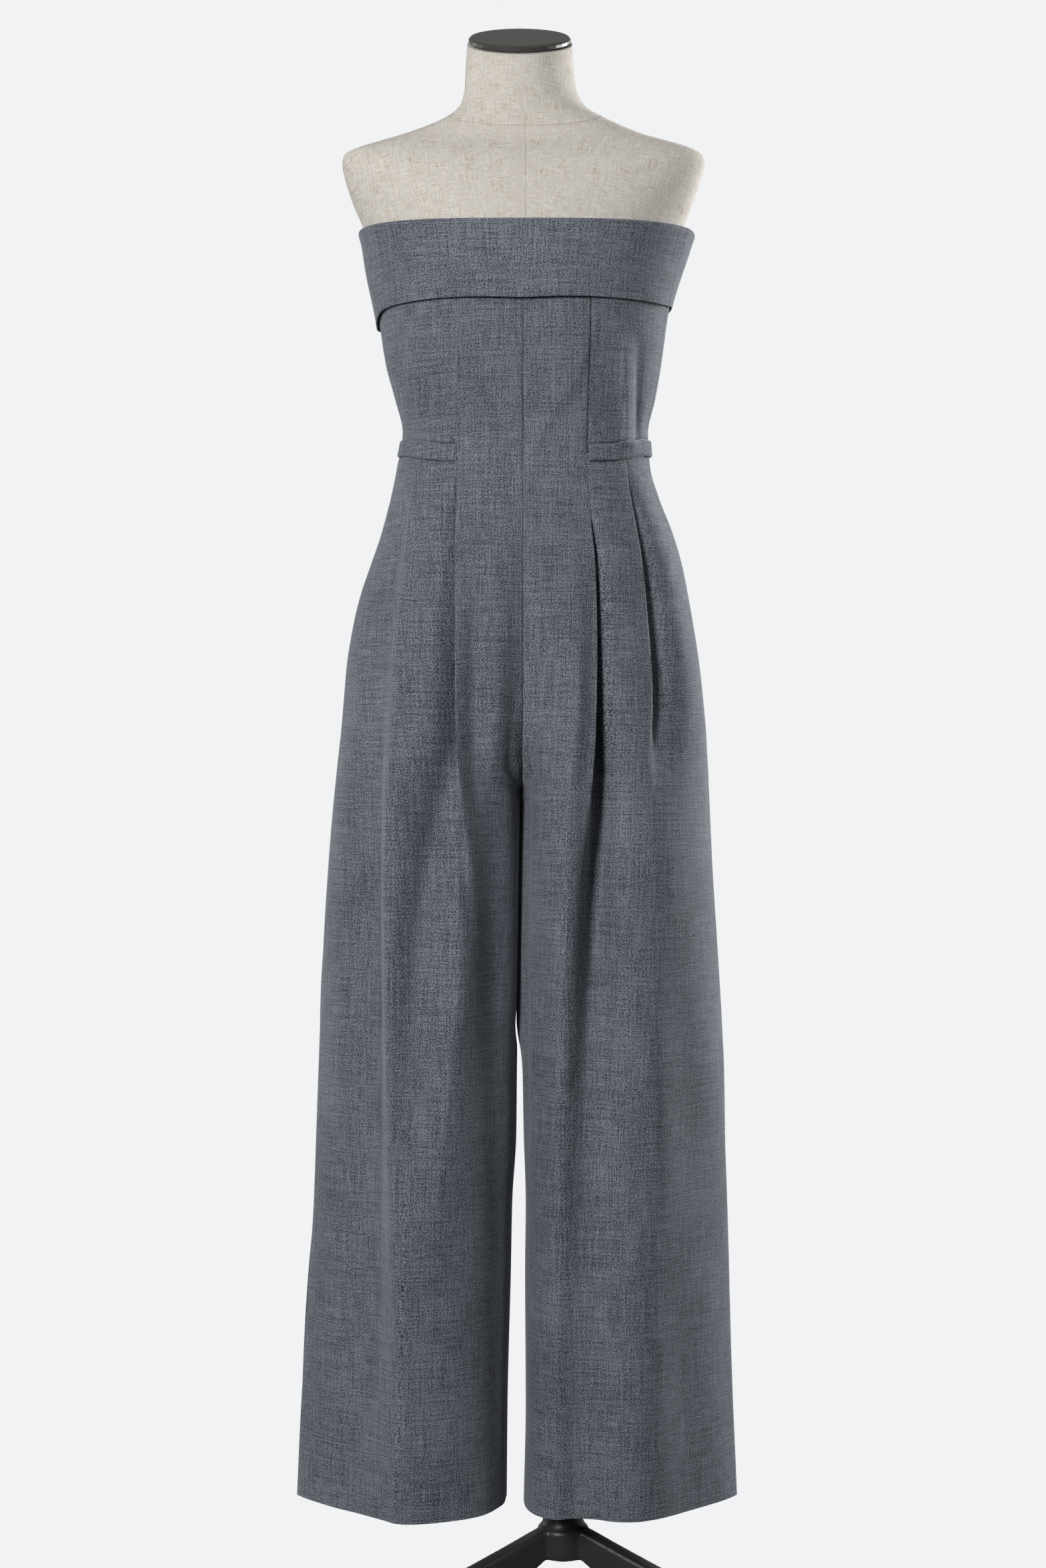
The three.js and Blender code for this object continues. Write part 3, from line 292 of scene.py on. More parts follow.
# The neck slants, so that its top is low at the front.
NECK_SLANT = math.tan(math.radians(27))
NECK_SLANT_START = 1592.0
NECK_TOP = 1652.0


# ---------------- the cloth's surface

def smooth(value, low, high):
    """0 below low, 1 above high, and a soft step between them."""
    t = np.clip((value - low) / (high - low), 0, 1)
    return t * t * (3 - 2 * t)


def reach(angle, exponent):
    """The radius of a rounded square of half-width 1: an exponent of 2 makes it a circle."""
    return (np.abs(np.sin(angle)) ** exponent + np.abs(np.cos(angle)) ** exponent) ** (-1 / exponent)


def half_section(side, z):
    """One half of the garment, cut level: its centre, its sizes and where its seams are."""
    inner = GARMENT["inner_" + side](z)
    outer = GARMENT[side](z)
    fork = np.radians(GARMENT["fork"](z))
    corner = GARMENT["corner_" + side](z)
    half_width = (outer - inner) / (1 - reach(fork, corner) * np.sin(fork))
    return {
        "fork": fork, "corner": corner, "side": GARMENT["side"](z), "half_width": half_width,
        "centre": outer - half_width,
        "front": GARMENT["front"](z), "back": GARMENT["back"](z), "seam": np.radians(GARMENT["seam"](z)),
    }


def outline_point(section, angle):
    """The outline before any fold, at an angle from centre front round to centre back."""
    depth = np.where(angle < math.pi / 2, section["front"], section["back"])
    far = reach(angle, np.where(np.sin(angle) < 0, section["corner"], section["side"]))
    return section["centre"] + section["half_width"] * far * np.sin(angle), -depth * far * np.cos(angle)


def outline_along(section, angle):
    """How the outline moves for each radian, as x and y."""
    step = 1e-3
    x1, y1 = outline_point(section, angle + step)
    x0, y0 = outline_point(section, angle - step)
    return (x1 - x0) / (2 * step), (y1 - y0) / (2 * step)


def heading(section, angle):
    """The outline's direction, one long."""
    x, y = outline_along(section, angle)
    length = np.hypot(x, y)
    return x / length, y / length


def line_angle(section, face, x):
    """The angle at which the outline of a face passes x."""
    across = np.clip((x - section["centre"]) / section["half_width"], -0.98, 0.98)
    exponent = np.where(across < 0, section["corner"], section["side"])
    ahead = (1 - np.abs(across) ** exponent) ** (1 / exponent)
    angle = np.arctan2(across, ahead)
    return angle if face == "front" else math.pi - angle


def ripple(x, z, seed, size):
    """Slow uneven waves of the cloth, within about one either way."""
    rng = np.random.default_rng(seed)
    total = 0.0
    for _ in range(7):
        kx, kz = rng.uniform(-1, 1) / size[0], rng.uniform(-1, 1) / size[1]
        total = total + np.sin(2 * math.pi * (kx * x + kz * z) + rng.uniform(0, 2 * math.pi))
    return total / 2.6


def distance_along(section, angle, at):
    """How far an angle lies along the outline from another."""
    return (angle - at) * np.hypot(*outline_along(section, at))


def pinch(distance, depth, width):
    return -depth * np.exp(-(distance / width) ** 2)


def seam_groove(distance, share=1.0):
    """The narrow groove along a seam, in the slight hollow that its allowance pulls in."""
    return share * (pinch(distance, 0.55, 0.6) + pinch(distance, 0.4, 3.2))


def fold_offsets(side, section, angle, z):
    """How far the folds raise the cloth, and slide it along itself."""
    rise, slide = 0.0, 0.0
    for crease in FOLDS[side]:
        at = line_angle(section, crease["face"], crease["place"](z))
        to_side = 1.0 if crease["face"] == "front" else -1.0
        distance = distance_along(section, angle, at) * to_side
        inward = distance < 0
        width = np.where(inward, crease["inner"](z), crease["outer"](z))
        power = np.where(inward, crease["inner_power"], crease["outer_power"])
        bell = np.exp(-np.abs(distance / width) ** power)
        rise = rise + crease["rise"](z) * bell
        slide = slide - crease["under"](z) * bell * to_side
    return rise, slide


def seam_offset(side, section, angle, z):
    """The grooves of the stitched pleats and of the side, middle and princess seams."""
    rise = 0.0
    for line, top, bottom in STITCHED[side]:
        at = line_angle(section, "front", PLEAT_LINES[line](z))
        stitched = smooth(z, bottom, bottom + 12) * (1 - smooth(z, top, top + 3))
        rise = rise + seam_groove(distance_along(section, angle, at)) * stitched
    for at in (section["seam"], section["fork"], math.pi - section["fork"]):
        rise = rise + seam_groove(distance_along(section, angle, at))
    princess = line_angle(section, "front", PLEAT_LINES["main_" + side](z))
    above_welt = smooth(z, WELT_ROW - 4, WELT_ROW)
    return rise + seam_groove(distance_along(section, angle, princess), PRINCESS_SHARE[side]) * above_welt


def welt_offset(side, angle, x, y, z):
    """The grooves in which the welt is sewn down, above and below it."""
    past_princess = smooth(x - PLEAT_LINES["main_" + side](z), 1.5, 3) * (y < 0)
    from_welt = z - WELT_RISE * welt_slope(angle) - WELT_ROW
    edge = WELT_HALF_HEIGHT + 0.8
    return (pinch(from_welt - edge, 2.2, 1.0) + pinch(from_welt + edge, 2.2, 1.0)) * past_princess


def ripple_offset(side, x, y, z):
    """Slow waves all over the cloth, calmer on the bodice and other ones behind than in front."""
    calm = 0.25 + 0.75 * smooth(1240 - z, 0, 260)
    return 0.9 * calm * ripple(x + (y > 0) * 500, z, RIPPLE_SEED[side], (60, 240))


def middle_sway(side, y, z):
    """How far the cloth moves aside where the two halves meet."""
    sway = SIGN[side] * INNER_SWAY(z) * np.exp(-(y / SWAY_DEPTH) ** 2)
    if side == "right":
        sway = sway + SLOT(z) * smooth(-y, 12, 40)
    return sway - SIGN[side] * LAP * (1 - smooth(z, 920, 940)) * smooth(-y, 2, 12)


def cloth_point(side, angle, z, extra=0.0):
    """A point of the cloth's outer face, in the half's own x and the garment's y."""
    section = half_section(side, z)
    x, y = outline_point(section, angle)
    along_x, along_y = heading(section, angle)
    rise, slide = fold_offsets(side, section, angle, z)
    rise = rise + extra + seam_offset(side, section, angle, z)
    rise = rise + welt_offset(side, angle, x, y, z) + ripple_offset(side, x, y, z)
    apart = 1 - np.exp(-((x - GARMENT["inner_" + side](z)) / END_WIDTH) ** 2)
    sway = middle_sway(side, y, z) * (1 - apart)
    return x + (along_y * rise + along_x * slide) * apart + sway, y - along_x * rise + along_y * slide


def welt_slope(angle):
    """How far, from 0 to 1, the rows near the welt have climbed at this angle."""
    degrees = np.degrees(np.abs(angle))
    return smooth(degrees, 30, 74) * (1 - smooth(degrees, 84, 130))


def level_height(angle, row):
    """The height of a row at an angle: level, but for the cuff's top and the welts."""
    top_rise = CUFF_TOP_RISE * np.sin(angle) ** 2 * smooth(row, 1380, TOP_ROW)
    near_welt = np.exp(-((row - WELT_ROW) / 42) ** 2)
    return row + top_rise + WELT_RISE * welt_slope(angle) * near_welt


# ---------------- meshes

CREASE_ANGLE = 50  # degrees past which an edge of the cloth shows as sharp


def to_frame(x, y, z):
    return np.stack([x * MM + MIDDLE_X, y * MM + MIDDLE_Y, z * MM], axis=-1)


def link(name, data):
    made = bpy.data.objects.new(name, data)
    bpy.context.scene.collection.objects.link(made)
    return made


def shade(mesh, material):
    mesh.polygons.foreach_set("use_smooth", [True] * len(mesh.polygons))
    mesh.materials.clear()
    mesh.materials.append(material)


def new_object(name, points, faces, material, grain=None, sharp=40):
    """A piece of the garment or the form; its edges past so many degrees are sharp."""
    mesh = bpy.data.meshes.new(name)
    mesh.from_pydata(points.tolist(), [], faces)
    shade(mesh, material)
    mesh.set_sharp_from_angle(angle=math.radians(sharp))
    if grain is not None:
        attribute = mesh.attributes.new("grain", "FLOAT_VECTOR", "POINT")
        flat = np.zeros((len(points), 3))
        flat[:, :2] = grain
        attribute.data.foreach_set("vector", flat.ravel())
    mesh.validate()
    mesh.update()
    made = link(name, mesh)
    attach(made, "root")
    return made


def wall(name, outer, inner, grain, mask=None):
    """A closed thin wall of suiting between two grids of points, open where the mask is false."""
    rows, columns = outer.shape[:2]
    keep = np.ones((rows - 1, columns - 1), bool) if mask is None else mask
    index = np.arange(rows * columns).reshape(rows, columns)
    a, b, c, d = index[:-1, :-1], index[1:, :-1], index[1:, 1:], index[:-1, 1:]
    quads = [np.stack([a, b, c, d], -1)[keep]]
    quads.append(quads[0][:, [0, 3, 2, 1]] + rows * columns)
    padded = np.pad(keep, 1)
    for di, dj, (i0, j0), (i1, j1) in (
        (-1, 0, (0, 0), (0, 1)), (1, 0, (1, 1), (1, 0)), (0, -1, (1, 0), (0, 0)), (0, 1, (0, 1), (1, 1)),
    ):
        open_edge = keep & ~padded[1 + di:rows + di, 1 + dj:columns + dj]
        i, j = np.nonzero(open_edge)
        p, q = index[i + i0, j + j0], index[i + i1, j + j1]
        quads.append(np.stack([p, q, q + rows * columns, p + rows * columns], -1))
    faces = np.concatenate(quads)
    points = np.concatenate([outer.reshape(-1, 3), inner.reshape(-1, 3)])
    used = np.zeros(len(points), bool)
    used[faces.ravel()] = True
    faces = (np.cumsum(used) - 1)[faces]
    points = points[used]
    both = np.concatenate([grain.reshape(-1, 2)] * 2)[used]
    p, q, r, s = (points[faces[:, i]] for i in range(4))
    volume = np.einsum("ij,ij->i", p, np.cross(q, r) + np.cross(r, s)).sum()
    if volume < 0:
        faces = faces[:, ::-1]
    return new_object(name, points, faces.tolist(), SUITING, both, CREASE_ANGLE)


def inset(x, y, thickness):
    """The inner face of a grid of cloth, so far in along its rows' own normals."""
    dx, dy = np.gradient(x, axis=1), np.gradient(y, axis=1)
    length = np.maximum(np.hypot(dx, dy), 1e-6)
    return x - dy / length * thickness, y + dx / length * thickness


def unit(vectors):
    return vectors / np.linalg.norm(vectors, axis=-1, keepdims=True)


def stretches(ends, cells):
    """Values from end to end, with so many even cells in each stretch."""
    parts = [np.linspace(low, high, count + 1)[1:] for low, high, count in zip(ends, ends[1:], cells)]
    return np.concatenate([ends[:1], *parts])


def evenly(start, end, cells):
    t = np.linspace(0, 1, cells + 1)
    return start[..., None] * (1 - t) + end[..., None] * t


# ---------------- materials

def node_material(name):
    material = bpy.data.materials.new(name)
    material.use_nodes = True
    tree = material.node_tree
    return material, tree, tree.nodes["Principled BSDF"]


def add(tree, kind, values=None, **settings):
    node = tree.nodes.new(kind)
    for key, value in settings.items():
        setattr(node, key, value)
    for key, value in (values or {}).items():
        node.inputs[key].default_value = value
    return node


def maths(tree, operation, *values):
    node = add(tree, "ShaderNodeMath", operation=operation)
    for socket, value in zip(node.inputs, values):
        if isinstance(value, (int, float)):
            socket.default_value = value
        else:
            tree.links.new(value, socket)
    return node.outputs[0]


def noise(tree, vector, across, along, detail=1.0, roughness=0.5, shift=(0, 0)):
    """Flat noise with so many cells to the metre across and along the cloth."""
    place = add(tree, "ShaderNodeMapping", {"Scale": (across, along, 1), "Location": (*shift, 0)})
    tree.links.new(vector, place.inputs["Vector"])
    node = add(tree, "ShaderNodeTexNoise", {"Scale": 1.0, "Detail": detail, "Roughness": roughness},
               noise_dimensions="2D")
    tree.links.new(place.outputs["Vector"], node.inputs["Vector"])
    return node.outputs["Fac"]


def weighted(tree, *terms):
    """The sum of some values, each times its weight."""
    total = maths(tree, "MULTIPLY", *terms[0])
    for value, weight in terms[1:]:
        total = maths(tree, "MULTIPLY_ADD", value, weight, total)
    return total


def ramp(tree, factor, stops):
    node = add(tree, "ShaderNodeValToRGB")
    elements = node.color_ramp.elements
    while len(elements) < len(stops):
        elements.new(0.5)
    for element, (position, color) in zip(elements, stops):
        element.position = position
        element.color = (*color, 1)
    tree.links.new(factor, node.inputs["Fac"])
    return node.outputs["Color"]


def bump(tree, shader, height, strength, distance):
    node = add(tree, "ShaderNodeBump", {"Strength": strength, "Distance": distance})
    tree.links.new(height, node.inputs["Height"])
    tree.links.new(node.outputs["Normal"], shader.inputs["Normal"])


def set_inputs(shader, **values):
    for key, value in values.items():
        shader.inputs[key.replace("_", " ")].default_value = value


def suiting_material():
    """Blue-grey melange suiting in a plain weave, with fine pale and dark slubs both ways."""
    material, tree, shader = node_material("suiting")
    grain = add(tree, "ShaderNodeAttribute", attribute_name="grain").outputs["Vector"]
    fine = noise(tree, grain, 900, 900, 2.0, 0.6)
    warp = noise(tree, grain, 880, 60)
    weft = noise(tree, grain, 60, 880, shift=(3, 7))
    long_warp = noise(tree, grain, 620, 16, shift=(5, 1))
    long_weft = noise(tree, grain, 16, 620, shift=(9, 2))
    cloud = noise(tree, grain, 14, 10, 3.0, 0.55, shift=(1, 4))
    both = maths(tree, "ADD", maths(tree, "ADD", warp, weft), maths(tree, "ADD", long_warp, long_weft))
    color = ramp(tree, weighted(tree, (both, 0.09), (fine, 0.58), (cloud, 0.06)), [
        (0.44, (0.035, 0.04, 0.05)), (0.5, (0.112, 0.126, 0.151)), (0.56, (0.25, 0.27, 0.31)),
    ])
    tree.links.new(color, shader.inputs["Base Color"])
    warp_threads = noise(tree, grain, 1500, 300)
    weft_threads = noise(tree, grain, 300, 1500)
    threads = maths(tree, "ADD", warp_threads, weft_threads)
    bump(tree, shader, maths(tree, "ADD", threads, both), 0.25, 0.0005)
    set_inputs(shader, Roughness=0.85, Specular_IOR_Level=0.2, Sheen_Weight=0.35, Sheen_Roughness=0.4,
               Sheen_Tint=(0.9, 0.92, 1.0, 1))
    return material


def linen_material():
    """Ecru linen with fine brown and beige slubs both ways."""
    material, tree, shader = node_material("linen")
    grain = add(tree, "ShaderNodeAttribute", attribute_name="grain").outputs["Vector"]
    fine = noise(tree, grain, 850, 850, 2.0, 0.6)
    warp = noise(tree, grain, 760, 60, 2.0, 0.55, shift=(2, 3))
    weft = noise(tree, grain, 70, 760, 2.0, 0.55, shift=(8, 5))
    both = maths(tree, "ADD", warp, weft)
    ground = ramp(tree, weighted(tree, (both, 0.3), (fine, 0.4)), [
        (0.42, (0.55, 0.512, 0.458)), (0.58, (0.72, 0.68, 0.618)),
    ])
    warp_slub = noise(tree, grain, 760, 90, shift=(4, 9))
    weft_slub = noise(tree, grain, 100, 760, shift=(6, 2))
    slub = maths(tree, "MAXIMUM", warp_slub, weft_slub)
    patch = noise(tree, grain, 60, 60, shift=(7, 7))
    above = maths(tree, "SUBTRACT", maths(tree, "MULTIPLY_ADD", patch, 0.35, slub), 0.85)
    amount = maths(tree, "MULTIPLY", above, 6.0)
    mix = add(tree, "ShaderNodeMix", data_type="RGBA", clamp_factor=True)
    tree.links.new(amount, mix.inputs[0])
    tree.links.new(ground, mix.inputs[6])
    mix.inputs[7].default_value = (0.47, 0.39, 0.29, 1)
    tree.links.new(mix.outputs[2], shader.inputs["Base Color"])
    bump(tree, shader, maths(tree, "ADD", both, fine), 0.2, 0.0005)
    set_inputs(shader, Roughness=0.9, Specular_IOR_Level=0.2, Sheen_Weight=0.2, Sheen_Roughness=0.4)
    return material


def plain_material(name, color, roughness, grit=None):
    """One colour, with a fine grit where its scale, strength and height are given."""
    material, tree, shader = node_material(name)
    set_inputs(shader, Base_Color=(*color, 1), Roughness=roughness)
    if grit:
        scale, strength, distance = grit
        place = add(tree, "ShaderNodeTexCoord").outputs["Object"]
        node = add(tree, "ShaderNodeTexNoise", {"Scale": scale, "Detail": 3.0})
        tree.links.new(place, node.inputs["Vector"])
        bump(tree, shader, node.outputs["Fac"], strength, distance)
    return material


SUITING = suiting_material()
LINEN = linen_material()
CAP = plain_material("cap", (0.055, 0.053, 0.046), 0.4, grit=(900, 0.05, 0.0003))
IRON = plain_material("iron", (0.03, 0.03, 0.033), 0.38, grit=(650, 0.35, 0.0006))
THREAD = plain_material("seam_thread", (0.42, 0.38, 0.33), 0.9)


# ---------------- panels

# How far the fine columns lie from the middle, the pleats and the side seam, along the cloth.
CENTRE_OFFSETS = [0, 0.5, 1.0, 1.6, 2.4, 3.6, 5.2, 7.5]
MAIN_OFFSETS = [-16, -12.5, -10, -8.2, -6.8, -5.8, -5, -4.4, -3.8, -3.3, -2.8, -2.3, -1.8, -1.3, -0.8, -0.4,
                0, 0.4, 0.9, 1.6, 2.5, 3.6, 4.8, 6, 7.2, 8.3, 9.3, 10.3, 11.3, 12.4, 13.6, 15, 17]
SIDE_OFFSETS = [-12, -9, -7, -5.5, -4.4, -3.6, -3, -2.5, -2, -1.5, -1, -0.5, 0, 0.5, 1, 1.7, 2.6, 3.8, 5.4,
                7.4, 10, 13]
SEAM_OFFSETS = [-7, -5, -3.6, -2.4, -1.6, -1, -0.5, 0]
FRONT_CELLS = (30, 6, 24)  # cells in the even stretches between them
BACK_CELLS = 84
PRINCESS_COLUMN = len(CENTRE_OFFSETS) - 1 + FRONT_CELLS[0] + MAIN_OFFSETS.index(0)
HALF_GAP = 0.15  # each panel ends this far short of its side seam
# Each piece takes its weave from another stretch of the pattern.
FRONT_WEAVE = {"left": 2.0, "right": 0.0}
SIDE_FRONT_WEAVE = {"left": 7.0, "right": 5.0}
BACK_WEAVE = {"left": 9.0, "right": 7.0}
WELT_WEAVE = {"left": 21.0, "right": 23.0}
CUFF_WEAVE = 31.0


def front_angles(side, z):
    """Angles of a front panel's columns: middle, main pleat, side pleat and side seam."""
    section = half_section(side, z)

    def spread(at, offsets):
        speed = np.hypot(*outline_along(section, at))
        return at[:, None] + np.array(offsets) / speed[:, None]

    first = spread(section["fork"], CENTRE_OFFSETS)
    main = spread(line_angle(section, "front", PLEAT_LINES["main_" + side](z)), MAIN_OFFSETS)
    second = spread(line_angle(section, "front", PLEAT_LINES["side_" + side](z)), SIDE_OFFSETS)
    last = spread(section["seam"] - HALF_GAP / section["front"], SEAM_OFFSETS)
    return np.concatenate([
        first, evenly(first[:, -1], main[:, 0], FRONT_CELLS[0])[:, 1:], main[:, 1:],
        evenly(main[:, -1], second[:, 0], FRONT_CELLS[1])[:, 1:], second[:, 1:],
        evenly(second[:, -1], last[:, 0], FRONT_CELLS[2])[:, 1:], last[:, 1:],
    ], axis=1)


def back_angles(side, z):
    """Angles of a back panel's columns, from the side seam to the middle."""
    section = half_section(side, z)
    start = section["seam"] + HALF_GAP / section["front"]
    speed = np.hypot(*outline_along(section, start))
    first = start[:, None] - np.array(SEAM_OFFSETS[::-1]) / speed[:, None]
    end = math.pi - section["fork"]
    speed = np.hypot(*outline_along(section, end))
    last = end[:, None] - np.array(CENTRE_OFFSETS[::-1]) / speed[:, None]
    return np.concatenate([first, evenly(first[:, -1], last[:, 0], BACK_CELLS)[:, 1:], last[:, 1:]], axis=1)


# The levels of the panels' rows, closest where the welts are sewn in and where the legs part.
ROWS = stretches([TOP_ROW, 1227, 1217, WELT_ROW, 1209, 1199, 900, 850, HEM],
                 [43, 14, 2, 2, 14, 69, 25, 119])


def panel(name, side, rows, angles, zero_column, weave, mask=None):
    """A panel of cloth with its weave, which runs along the zero column below GRAIN_ROW."""
    heights = level_height(angles, rows[:, None])
    x, y = cloth_point(side, angles, heights)
    inner_x, inner_y = inset(x, y, CLOTH)
    sign = SIGN[side]
    outer = to_frame(sign * x, y, heights)
    inner = to_frame(sign * inner_x, inner_y, heights)
    plain_x, plain_y = outline_point(half_section(side, heights), angles)
    steps = np.hypot(np.diff(plain_x, axis=1), np.diff(plain_y, axis=1))
    across = np.concatenate([np.zeros((len(rows), 1)), np.cumsum(steps, axis=1)], axis=1)
    zero = across[:, zero_column:zero_column + 1]
    held = zero[np.argmin(np.abs(rows - GRAIN_ROW))] if rows[-1] < GRAIN_ROW else zero[-1]
    across = across - zero + np.where(rows[:, None] > GRAIN_ROW, zero, held)
    grain = np.stack([sign * across * MM + weave, np.broadcast_to(heights * MM, across.shape)], -1)
    return wall(name, outer, inner, grain, mask)


def front_panels(side):
    """The front panel, and the side front of the bodice in its cut-out above the welt."""
    angles = front_angles(side, ROWS)
    mask = np.ones((len(ROWS) - 1, angles.shape[1] - 1), bool)
    mask[ROWS[1:] >= WELT_ROW - 1e-6, PRINCESS_COLUMN:] = False
    front = panel("cloth_front_" + side, side, ROWS, angles, PRINCESS_COLUMN, FRONT_WEAVE[side], mask)
    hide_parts("front_" + side)
    upper = ROWS >= WELT_ROW - 1e-6
    above = angles[upper][:, PRINCESS_COLUMN:].copy()
    above[:, 0] += PRINCESS_GAP[side] / BODICE_RADIUS
    bodice = panel("cloth_side_front_" + side, side, ROWS[upper], above, 0, SIDE_FRONT_WEAVE[side])
    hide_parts("side_front_" + side)


def back_panel(side):
    angles = back_angles(side, ROWS)
    made = panel("cloth_back_" + side, side, ROWS, angles, angles.shape[1] // 2, BACK_WEAVE[side])
    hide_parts("back_" + side)


# ---------------- welts and cuff

WELT_THICK = 1.8
WELT_OUT = 0.3  # the welt lies this far off the cloth
WELT_START = 1.2  # from the princess seam
WELT_OVERLAP = 1.5  # past the side seam
SIDE_RADIUS = 100.0  # about the bodice's radius there
WELT_RADIUS = 110.0  # these two turn angles into lengths of the weave
CUFF_RADIUS = 140.0


def welt(side, lift):
    """A flat welt from the princess seam to the side seam, where it lifts off the cloth."""
    above = np.array([1, 0.97, 0.9, 0.8, 0.6, 0.3, 0, -0.3, -0.6, -0.8, -0.9, -0.97, -1])
    rows = WELT_ROW + above * WELT_HALF_HEIGHT
    angles = front_angles(side, rows)[:, PRINCESS_COLUMN:]
    t = np.linspace(0, 1, 70)
    start = angles[:, :1] + WELT_START / BODICE_RADIUS
    angles = start + (angles[:, -1:] + WELT_OVERLAP / SIDE_RADIUS - start) * t
    z = level_height(angles, rows[:, None])
    swell = np.sqrt(1 - np.abs(above) ** 10)[:, None] * (1 - (2 * t - 1) ** 40)
    out = WELT_OUT + lift * smooth(t, 0.5, 1) + 0 * z
    x, y = cloth_point(side, angles, z, out + WELT_THICK * (0.35 + 0.65 * swell))
    inner_x, inner_y = cloth_point(side, angles, z, out)
    sign = SIGN[side]
    across = (angles - angles[:, :1]) * WELT_RADIUS * MM * sign + WELT_WEAVE[side]
    grain = np.stack([across, z * MM], -1)
    outer = to_frame(sign * x, y, z)
    inner = to_frame(sign * inner_x, inner_y, z)
    made = wall("cloth_welt_" + side, outer, inner, grain)
    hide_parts("welt_" + side)


def stand_off(angle, z, out):
    """A point that stands off the bodice by out, at a signed angle from centre front."""
    half = np.clip(np.abs(angle), 1e-4, math.pi - 1e-4)
    points = []
    for side in ("left", "right"):
        section = half_section(side, z)
        x, y = outline_point(section, half)
        along_x, along_y = heading(section, half)
        points.append((SIGN[side] * (x + along_y * out), y - along_x * out))
    (left_x, left_y), (right_x, right_y) = points
    return np.where(angle >= 0, right_x, left_x), np.where(angle >= 0, right_y, left_y)


# The cuff from inside its fold over the top and down: how far each point drops and stands out, and
# its share of the stand-off at the top. Below them it falls in these shares to its edge.
CUFF_DROPS = [6.7, 2.6, 0.6, 0, 1.3, 5]
CUFF_OUTS = [-1.6, -1.4, -0.4, 0, 0, 0]
CUFF_SHARES = [0, 0.03, 0.15, 0.5, 0.88, 1]
CUFF_FALLS = [0.22, 0.48, 0.74, 1]
CUFF_CLOTH = 1.4
CUFF_CELLS = [30, 40]
CUFF_WAVE = 0.8  # the cuff's slow waves, below its fold


def cuff_line(degrees, top):
    """How far the cuff's rows drop below its top and stand off the bodice, at each angle."""
    edge, top_out, low_out = (CUFF[key](degrees) for key in ("edge", "top_out", "low_out"))
    drops = [drop + 0 * top for drop in CUFF_DROPS]
    outs = [out + share * top_out for out, share in zip(CUFF_OUTS, CUFF_SHARES)]
    for share in CUFF_FALLS:
        drops.append(CUFF_DROPS[-1] * (1 - share) + (top - edge) * share)
        outs.append(top_out * (1 - share) + low_out * share)
    steps = stretches([0, len(CUFF_DROPS) - 1, len(drops) - 1], CUFF_CELLS)
    drop = curve(np.arange(len(drops)), np.array(drops))(steps)
    out = curve(np.arange(len(outs)), np.array(outs))(steps)
    fallen = smooth(drop, 2, 25) * (steps > CUFF_DROPS.index(0))[:, None]
    return drop, out + fallen * (CUFF_WAVE * ripple(degrees * 2.4, top - drop, 5, (110, 90)))


def cuff(name, node, start, end, cells):
    """A part of the cuff between two angles in degrees, in place of a node of the CAD."""
    degrees = np.linspace(start, end, cells + 1)
    wrapped = np.where(degrees > 180, degrees - 360, degrees)
    angle = np.radians(wrapped)
    top = CUFF_TOP_FRONT + CUFF_TOP_RISE * np.sin(angle) ** 2
    drop, out = cuff_line(wrapped, top)
    z = top - drop
    x, y = stand_off(np.broadcast_to(angle, z.shape), z, out)
    points = np.stack([x, y, z], -1)
    normal = unit(np.cross(np.gradient(points, axis=1), np.gradient(points, axis=0)))
    if np.einsum("ijk,ijk->", normal[-10:], points[-10:] * [1, 1, 0]) < 0:
        normal = -normal
    behind = points - normal * CUFF_CLOTH
    behind[0, :, 2] = points[0, :, 2]
    steps = np.linalg.norm(np.diff(points[:, cells // 2], axis=0), axis=-1)
    length = np.concatenate([[0], np.cumsum(steps)])
    across = np.radians(degrees) * CUFF_RADIUS * MM
    grain = np.stack(np.broadcast_arrays(across[None, :] + CUFF_WEAVE, -length[:, None] * MM), -1)
    outer = to_frame(*np.moveaxis(points, -1, 0))
    inner = to_frame(*np.moveaxis(behind, -1, 0))
    made = wall(name, outer, inner, grain)
    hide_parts(node)


# ---------------- the dress form and its stand

NECK_SEAM = 1553.0
COLLAR = 1552.0  # the collar has its own weave above this
LEAN_TOP = 1545.0  # the front's weave leans outwards below this
GRAIN_LEAN = 0.2
SEAM_HALF_WIDTH = 0.28
SEAM_OUT = 0.12
# The base, in metres: its voxels, and the arch that lifts its legs' undersides near the pole.
VOXEL = 0.0018
ARCH_RISE = 0.016
ARCH_REACH = 0.032
ARCH_TOP = 0.1
ARCH_FADE = 0.04


def form_point(angle, z):
    slant = NECK_SLANT * smooth(z, NECK_SLANT_START, NECK_TOP)
    half_width = np.where(np.sin(angle) < 0, FORM["left"](z), FORM["right"](z))
    depth = np.where(np.cos(angle) > 0, FORM["front"](z), FORM["back"](z))
    far = reach(angle, FORM["corner"](z))
    y = -depth * np.cos(angle) * far
    return np.stack([half_width * np.sin(angle) * far, y, z + slant * y], -1)


def ring_faces(rings, sides):
    """The cells between closed rings of points."""
    i, j = np.meshgrid(np.arange(rings - 1), np.arange(sides), indexing="ij")
    after = (j + 1) % sides
    faces = np.stack([i * sides + j, i * sides + after, (i + 1) * sides + after, (i + 1) * sides + j], -1)
    return faces.reshape(-1, 4).tolist()


